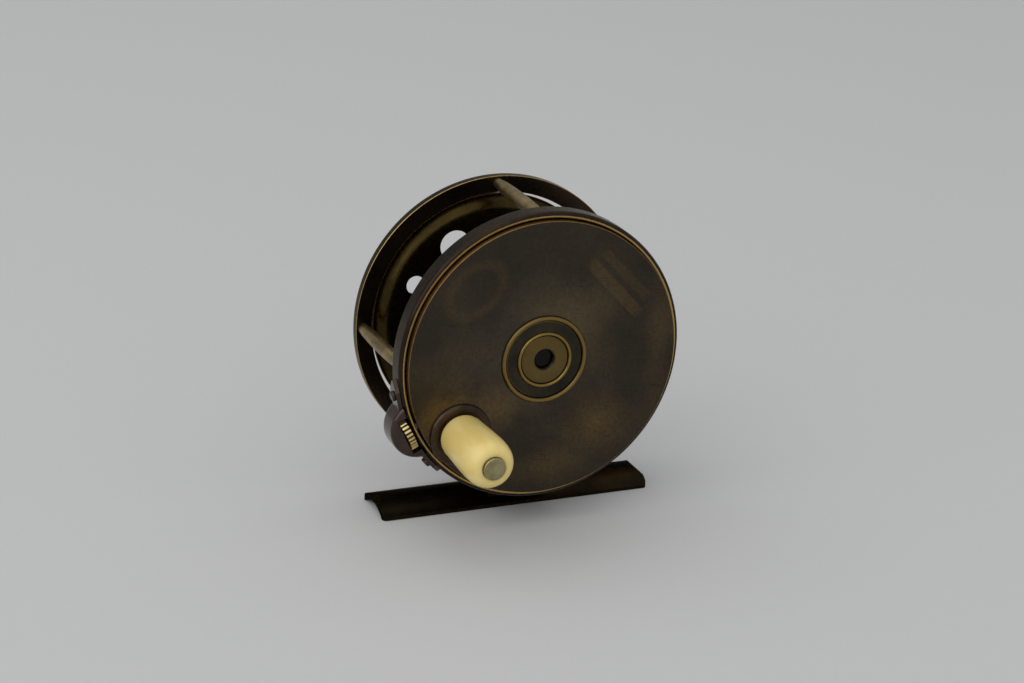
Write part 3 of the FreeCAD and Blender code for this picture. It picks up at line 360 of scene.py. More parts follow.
def handled_plate(tree, spots, cloud, grain):
    """Everywhere that the plate's bronzing is thin."""
    # Each place is how far right and up of the spindle, the turn, and half the width and height.
    patches = [
        # The golden bloom beside the handle.
        round_patch(tree, spots, cloud, (-21.0, -10.0, 25, 10.0, 6.0), 0.46),
        round_patch(tree, spots, cloud, (-13.0, -10.0, -30, 8.0, 6.0), 0.30),
        # Fainter rubbing low down, along the right edge and across the middle.
        round_patch(tree, spots, cloud, (1.0, -24.0, 5, 14.0, 6.0), 0.20, 0.9),
        round_patch(tree, spots, cloud, (26.5, 3.0, 0, 4.0, 18.0), 0.12),
        round_patch(tree, spots, cloud, (4.0, 3.0, 40, 20.0, 14.0), 0.20, 0.7),
        # The three plain panels: an oval border, a double bar and a rounded patch.
        ring_patch(tree, spots, (-15.7, 16.6, 39.7, 8.2, 5.6), 0.08),
        bar_patch(tree, spots, cloud, (15.6, 14.2, -46.7, 8.4, 1.35), 0.16),
        bar_patch(tree, spots, cloud, (18.2, 16.8, -46.7, 7.6, 1.1), 0.09),
        round_patch(tree, spots, cloud, (12.9, -15.5, 24, 14.0, 12.0), 0.46, 0.5),
    ]
    total = patches[0]
    for patch in patches[1:]:
        total = add(tree, "ShaderNodeMath", {"operation": "MAXIMUM"}, {0: total, 1: patch})
    broken = add(tree, "ShaderNodeMapRange", None,
                 {"Value": grain, "From Min": 0.38, "From Max": 0.62,
                  "To Min": 0.72, "To Max": 1.2})
    return add(tree, "ShaderNodeMath", {"operation": "MULTIPLY"}, {0: total, 1: broken})


def painted_sheen_round_boss(tree, spots, cloud):
    """Painted sheen: the plate's brown is brightened round the boss and a little darker towards its
    rim.
    """
    near = round_patch(tree, spots, cloud, (-3.0, 4.0, 20, 32.0, 22.0), 1.0, 0.6)
    return add(tree, "ShaderNodeMapRange", None, {"Value": near, "To Min": 0.92, "To Max": 2.3})


# %% Scratches
SCRATCH_STRENGTH = 0.45
SCRATCH_ROUGHNESS = 0.12


def scratch_mask(tree, spots, turn, gap_mm, length_mm, level):
    """Fine straight scratches: a noise drawn out a long way in one direction."""
    drawn = add(tree, "ShaderNodeMapping", {"vector_type": "TEXTURE"},
                {"Vector": spots, "Rotation": (0, math.radians(turn), 0),
                 "Scale": (length_mm * MM, 1.0, gap_mm * MM)})
    lines = add(tree, "ShaderNodeTexNoise", None, {"Vector": drawn, "Scale": 1.0, "Detail": 2.0})
    return add(tree, "ShaderNodeMapRange", {"interpolation_type": "SMOOTHSTEP"},
               {"Value": lines, "From Min": level, "From Max": level + 0.06})


def scratched(material):
    """Lay dark, slightly duller scratches over a finish."""
    tree = material.node_tree
    surface = shader_of(material)
    spots = add(tree, "ShaderNodeTexCoord").outputs["Object"]
    # Real scratches are a few hundredths of a millimetre wide. These are drawn ten times as wide.
    scratches = scratch_mask(tree, spots, 12, 0.35, 6.0, 0.64)
    for turn, gap_mm, length_mm in ((-38, 0.4, 4.0), (80, 0.35, 5.0)):
        more = scratch_mask(tree, spots, turn, gap_mm, length_mm, 0.66)
        scratches = add(tree, "ShaderNodeMath", {"operation": "MAXIMUM"}, {0: scratches, 1: more})
    faint = add(tree, "ShaderNodeMath", {"operation": "MULTIPLY"},
                {0: scratches, 1: SCRATCH_STRENGTH})
    scored = add(tree, "ShaderNodeMix", {"data_type": "RGBA"},
                 {"Factor": faint, "A": surface.inputs["Base Color"].links[0].from_socket,
                  "B": srgb("#1c1913")})
    duller = add(tree, "ShaderNodeMath", {"operation": "MULTIPLY_ADD"},
                 {0: scratches, 1: SCRATCH_ROUGHNESS,
                  2: surface.inputs["Roughness"].links[0].from_socket})
    tree.links.new(scored.outputs["Result"], surface.inputs["Base Color"])
    tree.links.new(duller.outputs["Value"], surface.inputs["Roughness"])


# %% Winding plate brass
# Thin even bronzing over brass. It looks deep brown, warmer where hands have thinned it.
plate_brass = patinated_brass("winding_plate_brass", "#302a22", "#3e3628", "#8a6f44",
                              patina_mm=14.0, sheen=(0.30, 0.44), rubbed=handled_plate,
                              painted_sheen=painted_sheen_round_boss)
scratched(plate_brass)
print("plate finish has", len(plate_brass.node_tree.nodes), "nodes")

# %% [markdown]
# ## Boss and knurled wheel finishes
# These two are worn by their shape: what stands proud is bright and what lies low keeps its
# dirt. The boss faces forwards, so its mask reads how near a point is to its front. The wheel
# turns about its own slanted axis, so its mask reads the distance from that axis instead.

# %% Boss brass
# Specks move the line between bright and brown by about this much.
SPECK_REACH = 0.12 * MM
PROUD_BAND = 0.06 * MM


def proud_parts(front, depth_mm, strength):
    """Mask of what stands nearest the front of a turned piece, where cloths and thumbs reach."""
    def mask(tree, spots, cloud, grain):
        split = add(tree, "ShaderNodeSeparateXYZ", None, {"Vector": spots})
        level = add(tree, "ShaderNodeMath", {"operation": "MULTIPLY_ADD"},
                    {0: grain, 1: SPECK_REACH, 2: split.outputs["Y"]})
        return add(tree, "ShaderNodeMapRange", {"interpolation_type": "SMOOTHSTEP"},
                   {"Value": level, "From Min": front + depth_mm * MM,
                    "From Max": front + PROUD_BAND, "To Max": strength})
    return mask


boss_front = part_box("centre_boss")[0][1]
# The beads of the boss catch every cloth, so they are pale brass above their dark channels.
boss_brass = patinated_brass("boss_brass", "#1f1c16", "#363021", "#957a3e", patina_mm=5.0,
                             sheen=(0.12, 0.22), rubbed=proud_parts(boss_front, 0.66, 0.8))
print("boss front at", boss_front / MM, "mm")

# %% Knurled wheel brass
WHEEL = Vector(record_joints["tension_turn"]["pos_m"])
WHEEL_AXIS = Vector(record_joints["tension_turn"]["axis"])
wheel_low, wheel_high = (Vector(corner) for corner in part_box("tension_wheel"))
WHEEL_RADIUS = (wheel_high.y - wheel_low.y) / 2
TIP_START = WHEEL_RADIUS - 0.17 * MM
TIP_FULL = WHEEL_RADIUS - 0.05 * MM


def ridge_tips(tree, spots, cloud, grain):
    """Mask of the wheel's rim, measured as the distance from its axis."""
    offset = add(tree, "ShaderNodeVectorMath", {"operation": "SUBTRACT"}, {0: spots, 1: WHEEL})
    crossed = add(tree, "ShaderNodeVectorMath", {"operation": "CROSS_PRODUCT"},
                  {0: offset, 1: WHEEL_AXIS})
    away = add(tree, "ShaderNodeVectorMath", {"operation": "LENGTH"}, {0: crossed})
    return add(tree, "ShaderNodeMapRange", {"interpolation_type": "SMOOTHSTEP"},
               {"Value": away.outputs["Value"], "From Min": TIP_START, "From Max": TIP_FULL})


# Thumbs keep the ridges of the knurled wheel bright, while dirt stays in its grooves.
wheel_brass = patinated_brass("knurled_brass", "#221c12", "#3a2f1a", "#d9c184", patina_mm=3.0,
                              rubbed=ridge_tips)
print("wheel radius", WHEEL_RADIUS / MM, "mm")

# %% [markdown]
# ## The other metals
# The pillars and the handle pin are nickel silver, a pale alloy that dulls to khaki. Screws are
# blued steel. The spindle, races, balls and ratchet are ground steel, and the bush is bronze.
# None of them wears through to another metal, so a simpler function makes them: two close
# colours that drift over a few millimetres, and a fine grain in the shine.

# %% Plain metals
STAIN_MM = 3.5
TURNED_GRAIN_MM = 0.5


def turned_metal(name, shade, tint, rough):
    """A bare metal with the fine uneven shine that a lathe or a grindstone leaves."""
    material, tree, surface = blank_material(name)
    spots = add(tree, "ShaderNodeTexCoord").outputs["Object"]
    grain = add(tree, "ShaderNodeTexNoise", None,
                {"Vector": spots, "Scale": 1 / (TURNED_GRAIN_MM * MM), "Detail": 6.0})
    stain = add(tree, "ShaderNodeTexNoise", None,
                {"Vector": spots, "Scale": 1 / (STAIN_MM * MM), "Detail": 4.0})
    blend = add(tree, "ShaderNodeMapRange", None,
                {"Value": stain.outputs["Fac"], "From Min": 0.36, "From Max": 0.64})
    colour = add(tree, "ShaderNodeMix", {"data_type": "RGBA"},
                 {"Factor": blend.outputs["Result"], "A": srgb(shade), "B": srgb(tint)})
    dull = add(tree, "ShaderNodeMapRange", None,
               {"Value": grain.outputs["Fac"], "From Min": 0.3, "From Max": 0.7,
                "To Min": rough[0], "To Max": rough[1]})
    relief = add(tree, "ShaderNodeBump", None,
                 {"Height": grain.outputs["Fac"], "Strength": 0.08, "Distance": 0.03 * MM})
    tree.links.new(colour.outputs["Result"], surface.inputs["Base Color"])
    tree.links.new(dull.outputs["Result"], surface.inputs["Roughness"])
    tree.links.new(relief.outputs["Normal"], surface.inputs["Normal"])
    surface.inputs["Metallic"].default_value = 1.0
    return material


# Khaki and satin, with a soft streak of light along each pillar.
nickel_silver = turned_metal("nickel_silver", "#7d6c4a", "#a39167", rough=(0.32, 0.48))
# Yellower and glossier than the pillars, as the grip and fingers polish it.
pin_metal = turned_metal("pin_nickel_silver", "#82764a", "#a69d78", rough=(0.18, 0.30))
# Blue-black screws whose edges catch the light.
blued_steel = turned_metal("blued_steel", "#2b2824", "#49423a", rough=(0.3, 0.5))
# Cold grey and nearly mirror bright.
ground_steel = turned_metal("ground_steel", "#83858a", "#a5a6a8", rough=(0.18, 0.32))
# Reddish beside the brass, and oily smooth.
bearing_bronze = turned_metal("bearing_bronze", "#7a5228", "#94683a", rough=(0.28, 0.42))
print("finishes so far:", sorted(material.name for material in bpy.data.materials))

# %% [markdown]
# ## Ivorine
# The grip is ivorine, an early celluloid plastic made to look like ivory and polished. Light goes
# a little way into it, so the shader scatters under the surface, and age has turned it a warmer
# yellow in drifts that run along the grip.

# %% Ivorine
IVORINE_DEPTH = 2.4 * MM
IVORINE_SCATTER = 0.55


def aged_ivorine():
    """Polished cream plastic that glows a little and is marked by small rubs."""
    material, tree, surface = blank_material("polished_ivorine")
    spots = add(tree, "ShaderNodeTexCoord").outputs["Object"]
    along = add(tree, "ShaderNodeMapping", None, {"Vector": spots, "Scale": (1.0, 0.3, 1.0)})
    drift = add(tree, "ShaderNodeTexNoise", None,
                {"Vector": along.outputs["Vector"], "Scale": 1 / (3.0 * MM), "Detail": 3.0})
    fine = add(tree, "ShaderNodeTexNoise", None,
               {"Vector": spots, "Scale": 1 / (1.6 * MM), "Detail": 2.0})
    blend = add(tree, "ShaderNodeMapRange", None,
                {"Value": drift.outputs["Fac"], "From Min": 0.35, "From Max": 0.65})
    colour = add(tree, "ShaderNodeMix", {"data_type": "RGBA"},
                 {"Factor": blend.outputs["Result"], "A": srgb("#e2c878"), "B": srgb("#e9d38c")})
    gloss = add(tree, "ShaderNodeMapRange", None,
                {"Value": fine.outputs["Fac"], "From Min": 0.3, "From Max": 0.7,
                 "To Min": 0.24, "To Max": 0.27})
    tree.links.new(colour.outputs["Result"], surface.inputs["Base Color"])
    tree.links.new(gloss.outputs["Result"], surface.inputs["Roughness"])
    surface.inputs["IOR"].default_value = 1.5
    surface.inputs["Subsurface Weight"].default_value = IVORINE_SCATTER
    surface.inputs["Subsurface Radius"].default_value = (1.0, 0.7, 0.4)
    surface.inputs["Subsurface Scale"].default_value = IVORINE_DEPTH
    return material


ivorine = aged_ivorine()
print("ivorine scatters over", IVORINE_DEPTH / MM, "mm")

# %% [markdown]
# ## Turned pieces
# Most of a reel is made on a lathe, so one helper does what a lathe does: it takes the outline of
# half a section as radius and distance along the axis, spins it, and breaks the sharp corners.
# The middle of each bevel is marked as worn, for the patina to read, or for painted shade and
# grime where the corner points inwards. A second helper marks whole rings, for crests that have
# no sharp corner.

# %% Corners and wear
CORNER_ANGLE = math.radians(24)


def wear_layer(bm):
    """The mesh's layer of wear values, made if it isn't there yet."""
    return bm.verts.layers.float.get("wear") or bm.verts.layers.float.new("wear")


def break_corners(bm, width_mm, segments=3, worn=True, least=CORNER_ANGLE, most=math.pi):
    """Bevel the edges that two faces meet at sharply, and mark the middle of each bevel."""
    layer = wear_layer(bm)
    sharp = [edge for edge in bm.edges
             if len(edge.link_faces) == 2 and least < abs(edge.calc_face_angle(0)) < most]
    if not sharp:
        return
    made = bmesh.ops.bevel(bm, geom=sharp, offset=width_mm * MM, offset_type="OFFSET",
                           segments=segments, profile=0.5, affect="EDGES", material=-1,
                           clamp_overlap=True)
    strip = set(made["faces"])
    for vert in made["verts"]:
        if worn and all(face in strip for face in vert.link_faces):
            bends = [edge.calc_face_angle_signed(0) for edge in vert.link_edges]
            # An inside corner gets -1, which the brasses darken as painted shade and grime.
            vert[layer] = 1.0 if max(bends) > -min(bends) else -1.0


def rub(bm, value, least_radius, most_radius, first, last):
    """Give a wear value to a ring round the spindle, between two distances along Y."""
    layer = wear_layer(bm)
    for vert in bm.verts:
        radius = math.hypot(vert.co.x - SPINDLE.x, vert.co.z - SPINDLE.z) / MM
        if least_radius < radius < most_radius and first < vert.co.y / MM < last:
            vert[layer] = value


# %% From mesh to piece
FLAT_ANGLE = math.radians(38)


def piece_from(bm, name, body, material, nodes):
    """Make a finished bmesh an object that rides on its body and stands for its CAD nodes."""
    mesh = bpy.data.meshes.new(name)
    bm.to_mesh(mesh)
    bm.free()
    mesh.shade_smooth()
    mesh.set_sharp_from_angle(angle=FLAT_ANGLE)
    piece = bpy.data.objects.new(name, mesh)
    bpy.context.scene.collection.objects.link(piece)
    mesh.materials.append(material)
    weighted = piece.modifiers.new("even_shading", "WEIGHTED_NORMAL")
    weighted.keep_sharp = True
    if body:
        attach(piece, body)
    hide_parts(*nodes)
    return piece


# %% Lathe helper
SPIN_STEPS = 144


def arc(centre, radius, start, end, count):
    """Points of a round stretch of an outline, angles in degrees from the outward direction."""
    turns = [math.radians(start + (end - start) * step / (count - 1)) for step in range(count)]
    return [(centre[0] + radius * math.cos(turn), centre[1] + radius * math.sin(turn))
            for turn in turns]


def spun(outline, axis_point, steps=SPIN_STEPS):
    """Spin an outline of (radius, distance along) in millimetres about a line along Y."""
    bm = bmesh.new()
    verts = [bm.verts.new(axis_point + Vector((radius, along, 0)) * MM)
             for radius, along in outline]
    edges = [bm.edges.new(pair) for pair in zip(verts, verts[1:])]
    if outline[0][0] > 0 or outline[-1][0] > 0:
        edges.append(bm.edges.new((verts[-1], verts[0])))
    bmesh.ops.spin(bm, geom=verts + edges, cent=axis_point, axis=(0, 1, 0),
                   angle=2 * math.pi, steps=steps, use_merge=True)
    bmesh.ops.remove_doubles(bm, verts=bm.verts, dist=0.002 * MM)
    bmesh.ops.recalc_face_normals(bm, faces=bm.faces)
    return bm


def front_of(node):
    """Point on a turned node's axis in the plane of its front."""
    low, high = (Vector(corner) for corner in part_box(node))
    middle = (low + high) / 2
    return Vector((middle.x, low.y, middle.z))


def turned(name, node, body, material, outline, corner_mm=0.15, steps=SPIN_STEPS):
    """A turned piece that replaces one CAD node and starts at that node's front."""
    bm = spun(outline, front_of(node), steps)
    if corner_mm:
        break_corners(bm, corner_mm)
    return piece_from(bm, name, body, material, [node])


# %% [markdown]
# ## Frame
# The front rim is a deep band with a rounded shoulder and a thin web behind it, turned from one
# casting. A small lip runs round its bore, beside the winding plate's edge, and its crest is
# rubbed bright. That crest has no sharp corner, so it gets its wear ring by ring. The
# rear ring is a flat washer with its corners worn to a bright line.

# %% Front frame
RING_OUTER = (frame_high.x - frame_low.x) / 2 / MM
RIM_DEPTH = (frame_high.y - frame_low.y) / MM
RIM_BORE = RING_OUTER - 1.35
WEB_FRONT = RIM_DEPTH - 0.8
HUB_BORE = 7.9
LIP_RADIUS = 0.3
SHOULDER_RADIUS = 0.9
HEEL_RADIUS = 0.3


def rim_outline():
    """Half section of the front frame: web, bore, small rounded lip and wide rounded shoulder."""
    lip = arc((RIM_BORE + LIP_RADIUS, LIP_RADIUS), LIP_RADIUS, 180, 270, 6)
    shoulder = arc((RING_OUTER - SHOULDER_RADIUS, SHOULDER_RADIUS), SHOULDER_RADIUS, -90, 0, 9)
    heel = arc((RING_OUTER - HEEL_RADIUS, RIM_DEPTH - HEEL_RADIUS), HEEL_RADIUS, 0, 90, 5)
    return ([(HUB_BORE, WEB_FRONT), (RIM_BORE, WEB_FRONT)] + lip + shoulder + heel
            + [(HUB_BORE, RIM_DEPTH)])


rim_bm = spun(rim_outline(), front_of("front_frame"))
break_corners(rim_bm, 0.12)
rim_y = RIM_FRONT / MM
# Wear value, least and most distance from the bore's wall, first and last from the rim's front.
RIM_WEAR_AND_GAP_LIGHT = (
    # Painted light and wear: the bore wall lies in the gap's shade and is turned towards bare
    # brass.
    (0.55, -0.1, 0.02, 0.28, 1.5),                           # the wall inside the lip
    (0.15, 0.5, RING_OUTER - 0.2 - RIM_BORE, 0.0, 0.5),      # the whole shoulder, faintly
    (0.4, 0.5, 0.85, 0.0, 0.5),                              # the shoulder next to the lip
    (1.4, 0.03, 0.5, -0.1, 0.16),                            # the crest of the lip
)
for value, near, far, first, last in RIM_WEAR_AND_GAP_LIGHT:
    rub(rim_bm, value, RIM_BORE + near, RIM_BORE + far, rim_y + first, rim_y + last)
piece_from(rim_bm, "front_frame_turned", "frame", bronzed_brass, ["front_frame"])
print("rim", RING_OUTER, "mm in radius,", RIM_DEPTH, "mm deep")

# %% Rear ring
rear_low, rear_high = (Vector(corner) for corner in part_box("rear_ring"))
REAR_OUTER = (rear_high.x - rear_low.x) / 2 / MM
REAR_THICK = (rear_high.y - rear_low.y) / MM
REAR_BORE = REAR_OUTER - 3.7
turned("rear_ring_turned", "rear_ring", "frame", bronzed_brass,
       [(REAR_BORE, 0), (REAR_OUTER, 0), (REAR_OUTER, REAR_THICK), (REAR_BORE, REAR_THICK)], 0.2)
print("rear ring", REAR_THICK, "mm thick")

# %% [markdown]
# ## Pillars
# Each pillar is a slim barrel, thickest in the middle and drawn in at both ends, turned in one
# piece with the tenons that are riveted over in the rings. The swelling follows half a sine
# wave, flattened so that most of the barrel stays nearly as thick as its middle.

# %% Pillars
TENON_RADIUS = 0.8
PILLAR_END, PILLAR_NECK, PILLAR_SWELL = 1.15, 1.12, 0.38
PILLAR_FULLNESS = 0.6
WEB_THICK = RIM_DEPTH - WEB_FRONT
BARREL_POINTS = 11


def pillar_outline(length):
    """Half section of a pillar from rivet to rivet."""
    front, back = WEB_THICK, length - REAR_THICK
    barrel = []
    for point in range(BARREL_POINTS):
        share = point / (BARREL_POINTS - 1)
        swelling = math.sin(math.pi * share) ** PILLAR_FULLNESS
        barrel.append((PILLAR_NECK + PILLAR_SWELL * swelling,
                       front + (back - front) * (0.02 + 0.96 * share)))
    return ([(0, 0), (TENON_RADIUS, 0), (TENON_RADIUS, front), (PILLAR_END, front)] + barrel
            + [(PILLAR_END, back), (TENON_RADIUS, back), (TENON_RADIUS, length), (0, length)])


for place_name in ("right", "top", "left"):
    node_name = f"pillar_{place_name}"
    low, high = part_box(node_name)
    turned(f"{node_name}_turned", node_name, "frame", nickel_silver,
           pillar_outline((high[1] - low[1]) / MM), 0.05, 48)
    print(node_name, (high[1] - low[1]) / MM, "mm long")

# %% [markdown]
# ## Winding plate and centre boss
# The plate is a shallow dish whose turned-down edge shades the gap in the rim. It is made a
# touch wider than its imported shape, which leaves a fine dark line between plate and rim, and its
# edge is worn to the metal and lit with painted light where it lies in the gap's shade. In the
# middle sits a boss of two rounded beads with a hollow between them, round a flat disc with a
# countersunk oil hole.

# %% Winding plate
BOSS_SEAT = 5.9
GAP_TAKEN = 0.15
PLATE_THICK = 1.0
PLATE_WALL = 0.8
plate_low, plate_high = (Vector(corner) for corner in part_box("handle_plate"))
PLATE_RADIUS = (plate_high.x - plate_low.x) / 2 / MM + GAP_TAKEN
PLATE_DEPTH = (plate_high.y - plate_low.y) / MM
# Two points along flat stretches keep the spun faces from growing too long.
plate_bm = spun([(BOSS_SEAT, 0), (28.5, 0), (PLATE_RADIUS, 0), (PLATE_RADIUS, 0.6),
                 (PLATE_RADIUS, PLATE_DEPTH), (PLATE_RADIUS - PLATE_WALL, PLATE_DEPTH),
                 (PLATE_RADIUS - PLATE_WALL, PLATE_THICK), (BOSS_SEAT, PLATE_THICK)],
                front_of("handle_plate"))
break_corners(plate_bm, 0.14)
plate_y = plate_low.y / MM
# Painted light and wear: the plate's outer wall, down in the gap's shade, is turned towards bare
# brass.
rub(plate_bm, 0.9, PLATE_RADIUS - 0.02, PLATE_RADIUS + 1, plate_y + 0.12, plate_y + 2)
piece_from(plate_bm, "winding_plate", "spool", plate_brass,
           ["handle_plate"])
print("winding plate", PLATE_RADIUS, "mm in radius")

# %% Centre boss
PLATE_FACE = 0.8


def bead(centre, half_wide, height, foot, count=11):
    """A rounded bead that stands on a floor, from its outer foot to its inner foot."""
    turns = [math.pi * step / (count - 1) for step in range(count)]
    return [(centre + half_wide * math.cos(turn), foot - height * math.sin(turn)) for turn in turns]


def boss_outline():
    """Half section of the boss, counted back from the front of its outer bead."""
    outer_bead = bead(9.1, 0.56, 0.66, PLATE_FACE)
    hollow = [(8.4, 0.7), (6.5, 0.7)]
    inner_bead = bead(5.75, 0.42, 0.6, 0.64)
    disc = [(5.2, 0.42), (4.95, 0.34), (2.7, 0.32), (2.45, 0.38)]
    oil_hole = [(2.15, 0.6), (1.9, 1.0), (1.85, 1.7), (0.0, 1.72)]
    return ([(BOSS_SEAT, 1.8), (BOSS_SEAT, PLATE_FACE), (9.7, PLATE_FACE)] + outer_bead
            + hollow + inner_bead + disc + oil_hole + [(0.0, 1.8)])


boss_bm = spun(boss_outline(), front_of("centre_boss"))
break_corners(boss_bm, 0.05)
# The deep oil hole in the middle is darkened to a quarter as painted shade.
rub(boss_bm, -1.0, -1.0, 2.3, boss_front / MM + 0.45, boss_front / MM + 2.0)
piece_from(boss_bm, "centre_boss_turned", "spool", boss_brass,
           ["centre_boss"])
print("boss stands", (plate_low.y - boss_front) / MM, "mm proud of the plate")

# %% [markdown]
# ## Handle
# The grip is a slightly bellied barrel that turns on a fixed pin. It stands on a domed brass
# collar, and the pin's polished head sits in a shallow recess in the rounded end. The grip's end
# and side are free curves that no arc matches, so their points are listed. The grip gets
# no broken corners, because its plastic was moulded and polished round.

# %% Grip
GRIP_DOME = [(2.55, 0.1), (2.9, 0.0), (3.4, 0.08), (4.0, 0.42), (4.5, 0.95), (4.9, 1.65),
             (5.16, 2.5), (5.32, 3.6)]
GRIP_SIDE = [(5.4, 5.0), (5.4, 6.6), (5.34, 8.8), (5.25, 11.0), (5.14, 13.2), (5.05, 15.4),
             (5.0, 17.0)]


def grip_outline(length):
    """Half section of the grip, from the recess in its end round to its foot."""
    return ([(1.56, 0.8), (2.5, 0.8), (2.5, 0.2)] + GRIP_DOME + GRIP_SIDE
            + [(4.9, length - 0.12), (4.7, length), (1.56, length)])


grip_low, grip_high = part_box("handle_grip")
turned("handle_grip_turned", "handle_grip", "grip", ivorine,
       grip_outline((grip_high[1] - grip_low[1]) / MM), 0, 96)
print("grip", (grip_high[1] - grip_low[1]) / MM, "mm long")

# %% Pin and collar
pin_low, pin_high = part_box("handle_pin")
PIN_LENGTH = (pin_high[1] - pin_low[1]) / MM
turned("handle_pin_turned", "handle_pin", "spool", pin_metal,
       [(0, 0), (1.4, 0.01), (2.1, 0.04), (2.32, 0.12), (2.42, 0.24), (2.45, 0.4), (2.45, 1.3),
        (1.5, 1.3), (1.5, PIN_LENGTH), (0, PIN_LENGTH)], 0.03, 72)
turned("handle_collar_turned", "handle_collar", "spool", collar_brass,
       [(1.5, 0.12), (5.4, 0.12), (5.5, 0.0)] + arc((5.9, 1.0), 1.0, -90, 0, 9) + [(1.5, 1.0)],
       0.06, 96)
print("pin", PIN_LENGTH, "mm long")

# %% [markdown]
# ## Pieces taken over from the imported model
# Screws, the foot, the tension housing and the works inside have shapes that a lathe helper
# can't give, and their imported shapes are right. Each is copied, its loose triangles are merged
# into whole faces, its corners are broken, and it gets its real finish.

# %% Refined copies
DOUBLE_DISTANCE = 0.004 * MM
SAME_FACE_ANGLE = math.radians(0.6)


def merged_copy(node):
    """A copy of a CAD node's mesh with its triangles joined into faces."""
    bm = bmesh.new()
    bm.from_mesh(frame["nodes"][node].data)
    bmesh.ops.remove_doubles(bm, verts=bm.verts, dist=DOUBLE_DISTANCE)
    bmesh.ops.dissolve_degenerate(bm, dist=DOUBLE_DISTANCE / 2, edges=bm.edges)
    bmesh.ops.dissolve_limit(bm, angle_limit=SAME_FACE_ANGLE, verts=bm.verts, edges=bm.edges)
    return bm


def refined(node, body, material, slot, corner_mm):
    """A merged copy of a CAD node with broken corners."""
    bm = merged_copy(node)
    if corner_mm:
        break_corners(bm, corner_mm)
    return piece_from(bm, f"{node}_finished", body, material, [node])


# %% Fittings
# Node, body, finish, slot and width of the broken corners in millimetres.
FITTINGS = [
    ("foot", "frame", foot_brass, "dark_brass", 0.18),
    ("foot_saddle", "frame", foot_brass, "dark_brass", 0.12),
    ("foot_screws", "frame", blued_steel, "screw_steel", 0.05),
    ("tension_housing", "frame", housing_brass, "dark_brass", 0.3),
    ("tension_housing_screws", "frame", housing_brass, "screw_steel", 0.06),
    ("tension_wheel", "tension_screw", wheel_brass, "bright_brass", 0.05),
    ("tension_stem", "tension_screw", ground_steel, "steel", 0.05),
    ("tension_block", "tension_slide", drum_brass, "drum_brass", 0.08),
    ("bearing_housing", "frame", drum_brass, "drum_brass", 0.08),
    ("bearing_housing_screws", "frame", blued_steel, "screw_steel", 0.04),
    ("outer_race", "frame", ground_steel, "steel", 0.06),
    ("race_lock_ring", "frame", drum_brass, "drum_brass", 0.06),
    ("bearing_bush", "frame", bearing_bronze, "bronze", 0.06),
    ("pawl_pivot", "frame", ground_steel, "steel", 0.04),
    ("spring_anchor", "frame", drum_brass, "drum_brass", 0.04),
    ("check_pawl", "pawl", ground_steel, "steel", 0.05),
    ("spindle", "spool", ground_steel, "steel", 0.06),
    ("inner_race", "spool", ground_steel, "steel", 0.06),
    ("ratchet_wheel", "spool", ground_steel, "steel", 0.04),
    ("ratchet_screws", "spool", blued_steel, "screw_steel", 0.04),
    ("drum_front_flange", "spool", drum_brass, "drum_brass", 0.1),
    ("drum_core", "spool", drum_brass, "drum_brass", 0.1),
    ("drum_plug", "spool", drum_brass, "drum_brass", 0.1),
    ("drum_screws", "spool", blued_steel, "screw_steel", 0.06),
    ("drum_nut", "spool", bronzed_brass, "drum_brass", 0.12),
    ("handle_washer", "spool", nickel_silver, "nickel_silver", 0.04),
    ("race_balls", "ball_set", ground_steel, "steel", 0),
]
for fitting in FITTINGS:
    refined(*fitting)
print(len(FITTINGS), "fittings finished")

# %% [markdown]
# ## Rear flange of the drum
# The flange was spun over a former, so its step back to the edge is a soft curve and not a cone
# with two corners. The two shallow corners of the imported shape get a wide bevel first, and then
# the sharp ones get their usual small one.

# %% Rear flange
flange_bm = merged_copy("drum_rear_flange")
break_corners(flange_bm, 0.75, 5, worn=False, least=math.radians(30), most=math.radians(50))
break_corners(flange_bm, 0.12, least=math.radians(60))
print("rear flange has", len(flange_bm.faces), "faces")
piece_from(flange_bm, "drum_rear_flange_spun", "spool", drum_brass,
           ["drum_rear_flange"])

# %% [markdown]
# ## Check spring
# The spring is a strip of steel held in a slotted post. When the pawl lifts, the strip bends away
# with it. The piece here is one stiff copy that rides on no body.

# %% Check spring
spring_bm = merged_copy("check_spring")
break_corners(spring_bm, 0.03)
check_spring = piece_from(spring_bm, "check_spring_finished", None, ground_steel,
                          ["check_spring"])
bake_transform(check_spring)

# %% [markdown]
# ## Table and light
# A pale seamless sheet of paper runs under the reel and up behind it, so there is no horizon.
# Its outline is drawn from the side and extruded sideways.

# %% Seamless sheet
SHEET_HALF_WIDTH = 4.0
SHEET_FRONT = -3.0
SHEET_BEND = 1.6
BEND_RADIUS = 0.6
SHEET_TOP = 2.4


def sheet_mesh():
    """A floor that bends up into a wall well behind the reel."""
    curve = [(SHEET_FRONT, 0.0), (0.0, 0.0), (SHEET_BEND, 0.0)]
    turns = [math.radians(step * 9) for step in range(1, 11)]
    curve += [(SHEET_BEND + BEND_RADIUS * math.sin(turn), BEND_RADIUS * (1 - math.cos(turn)))
              for turn in turns]
    curve.append((SHEET_BEND + BEND_RADIUS, SHEET_TOP))
    bm = bmesh.new()
    verts = [bm.verts.new((-SHEET_HALF_WIDTH, along, TABLE + up)) for along, up in curve]
    edges = [bm.edges.new(pair) for pair in zip(verts, verts[1:])]
    swept = bmesh.ops.extrude_edge_only(bm, edges=edges)
    moved = [part for part in swept["geom"] if isinstance(part, bmesh.types.BMVert)]
    bmesh.ops.translate(bm, vec=(2 * SHEET_HALF_WIDTH, 0, 0), verts=moved)
    bmesh.ops.recalc_face_normals(bm, faces=bm.faces)
    mesh = bpy.data.meshes.new("seamless_sheet")
    bm.to_mesh(mesh)
    bm.free()
    mesh.shade_smooth()
    return mesh


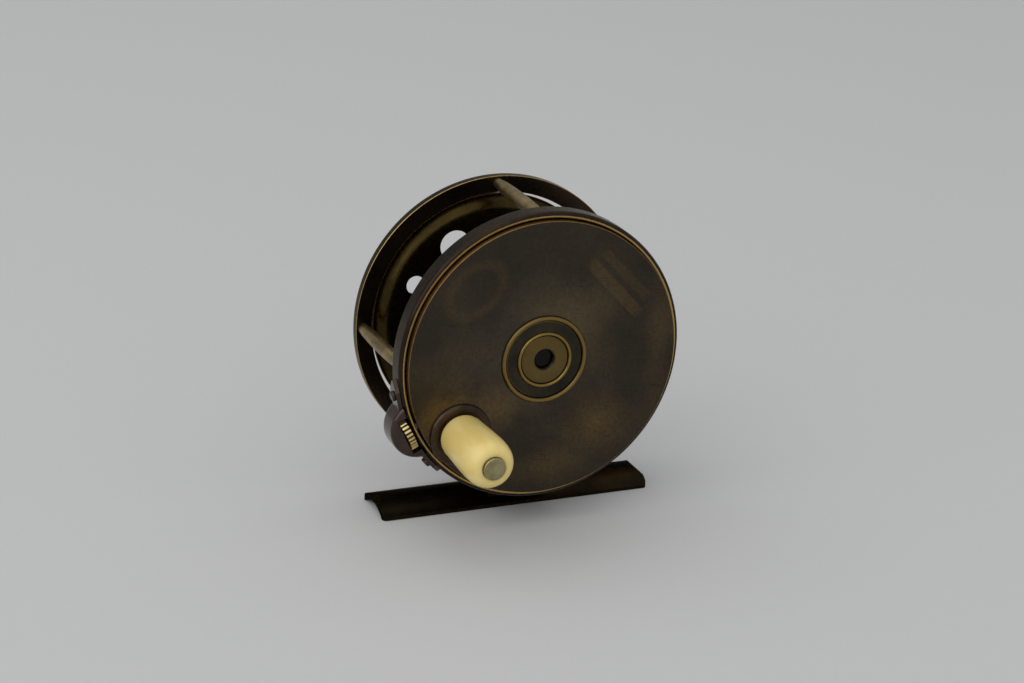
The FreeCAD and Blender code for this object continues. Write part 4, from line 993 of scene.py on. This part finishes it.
def pale_paper():
    """Matt white-grey paper with a faint fibre in it."""
    material, tree, surface = blank_material("pale_paper")
    spots = add(tree, "ShaderNodeTexCoord").outputs["Object"]
    fibre = add(tree, "ShaderNodeTexNoise", None,
                {"Vector": spots, "Scale": 1 / (1.5 * MM), "Detail": 4.0})
    tone = add(tree, "ShaderNodeMix", {"data_type": "RGBA"},
               {"Factor": fibre.outputs["Fac"], "A": srgb("#c6c6c6"), "B": srgb("#c9c9c8")})
    tree.links.new(tone.outputs["Result"], surface.inputs["Base Color"])
    surface.inputs["Roughness"].default_value = 0.7
    return material


sheet = bpy.data.objects.new("seamless_sheet", sheet_mesh())
bpy.context.scene.collection.objects.link(sheet)
sheet.data.materials.append(pale_paper())
print("sheet lies at", TABLE / MM, "mm")

# %% [markdown]
# ## Light
# The light is that of a light tent. A large soft lamp hangs overhead and a little behind, a
# second one stands to the left and gives the rims their long streaks, and a weak one in front
# opens up the dark face of the winding plate. The pale world fills the shadows.

# %% Lamps and world
WORLD_STRENGTH = 0.85


def lamp(name, spot, target, width, height, watts):
    """A soft rectangular lamp that faces a point."""
    light = bpy.data.lights.new(name, "AREA")
    light.shape = "RECTANGLE"
    light.size = width
    light.size_y = height
    light.energy = watts
    holder = bpy.data.objects.new(name, light)
    holder.location = spot
    holder.rotation_euler = (Vector(target) - Vector(spot)).to_track_quat("-Z", "Y").to_euler()
    bpy.context.scene.collection.objects.link(holder)


# Name, place and aim in metres, width and height, watts.
lamp("top_softbox", (-0.3, 0.12, 1.2), (0, 0, 0.04), 2.0, 1.6, 4.5)
lamp("left_softbox", (-1.1, -0.5, 0.8), (0, 0, 0.04), 1.3, 1.1, 4.0)
lamp("front_softbox", (-0.5, -1.4, 1.0), (0, 0, 0.02), 1.8, 1.2, 3.0)
world = bpy.data.worlds.new("light_tent")
world.use_nodes = True
backdrop = world.node_tree.nodes["Background"]
backdrop.inputs["Color"].default_value = srgb("#d8d9da")
backdrop.inputs["Strength"].default_value = WORLD_STRENGTH
bpy.context.scene.world = world
bpy.context.scene.view_settings.view_transform = "Standard"
print("lamps", [(light.name, light.energy) for light in bpy.data.lights])
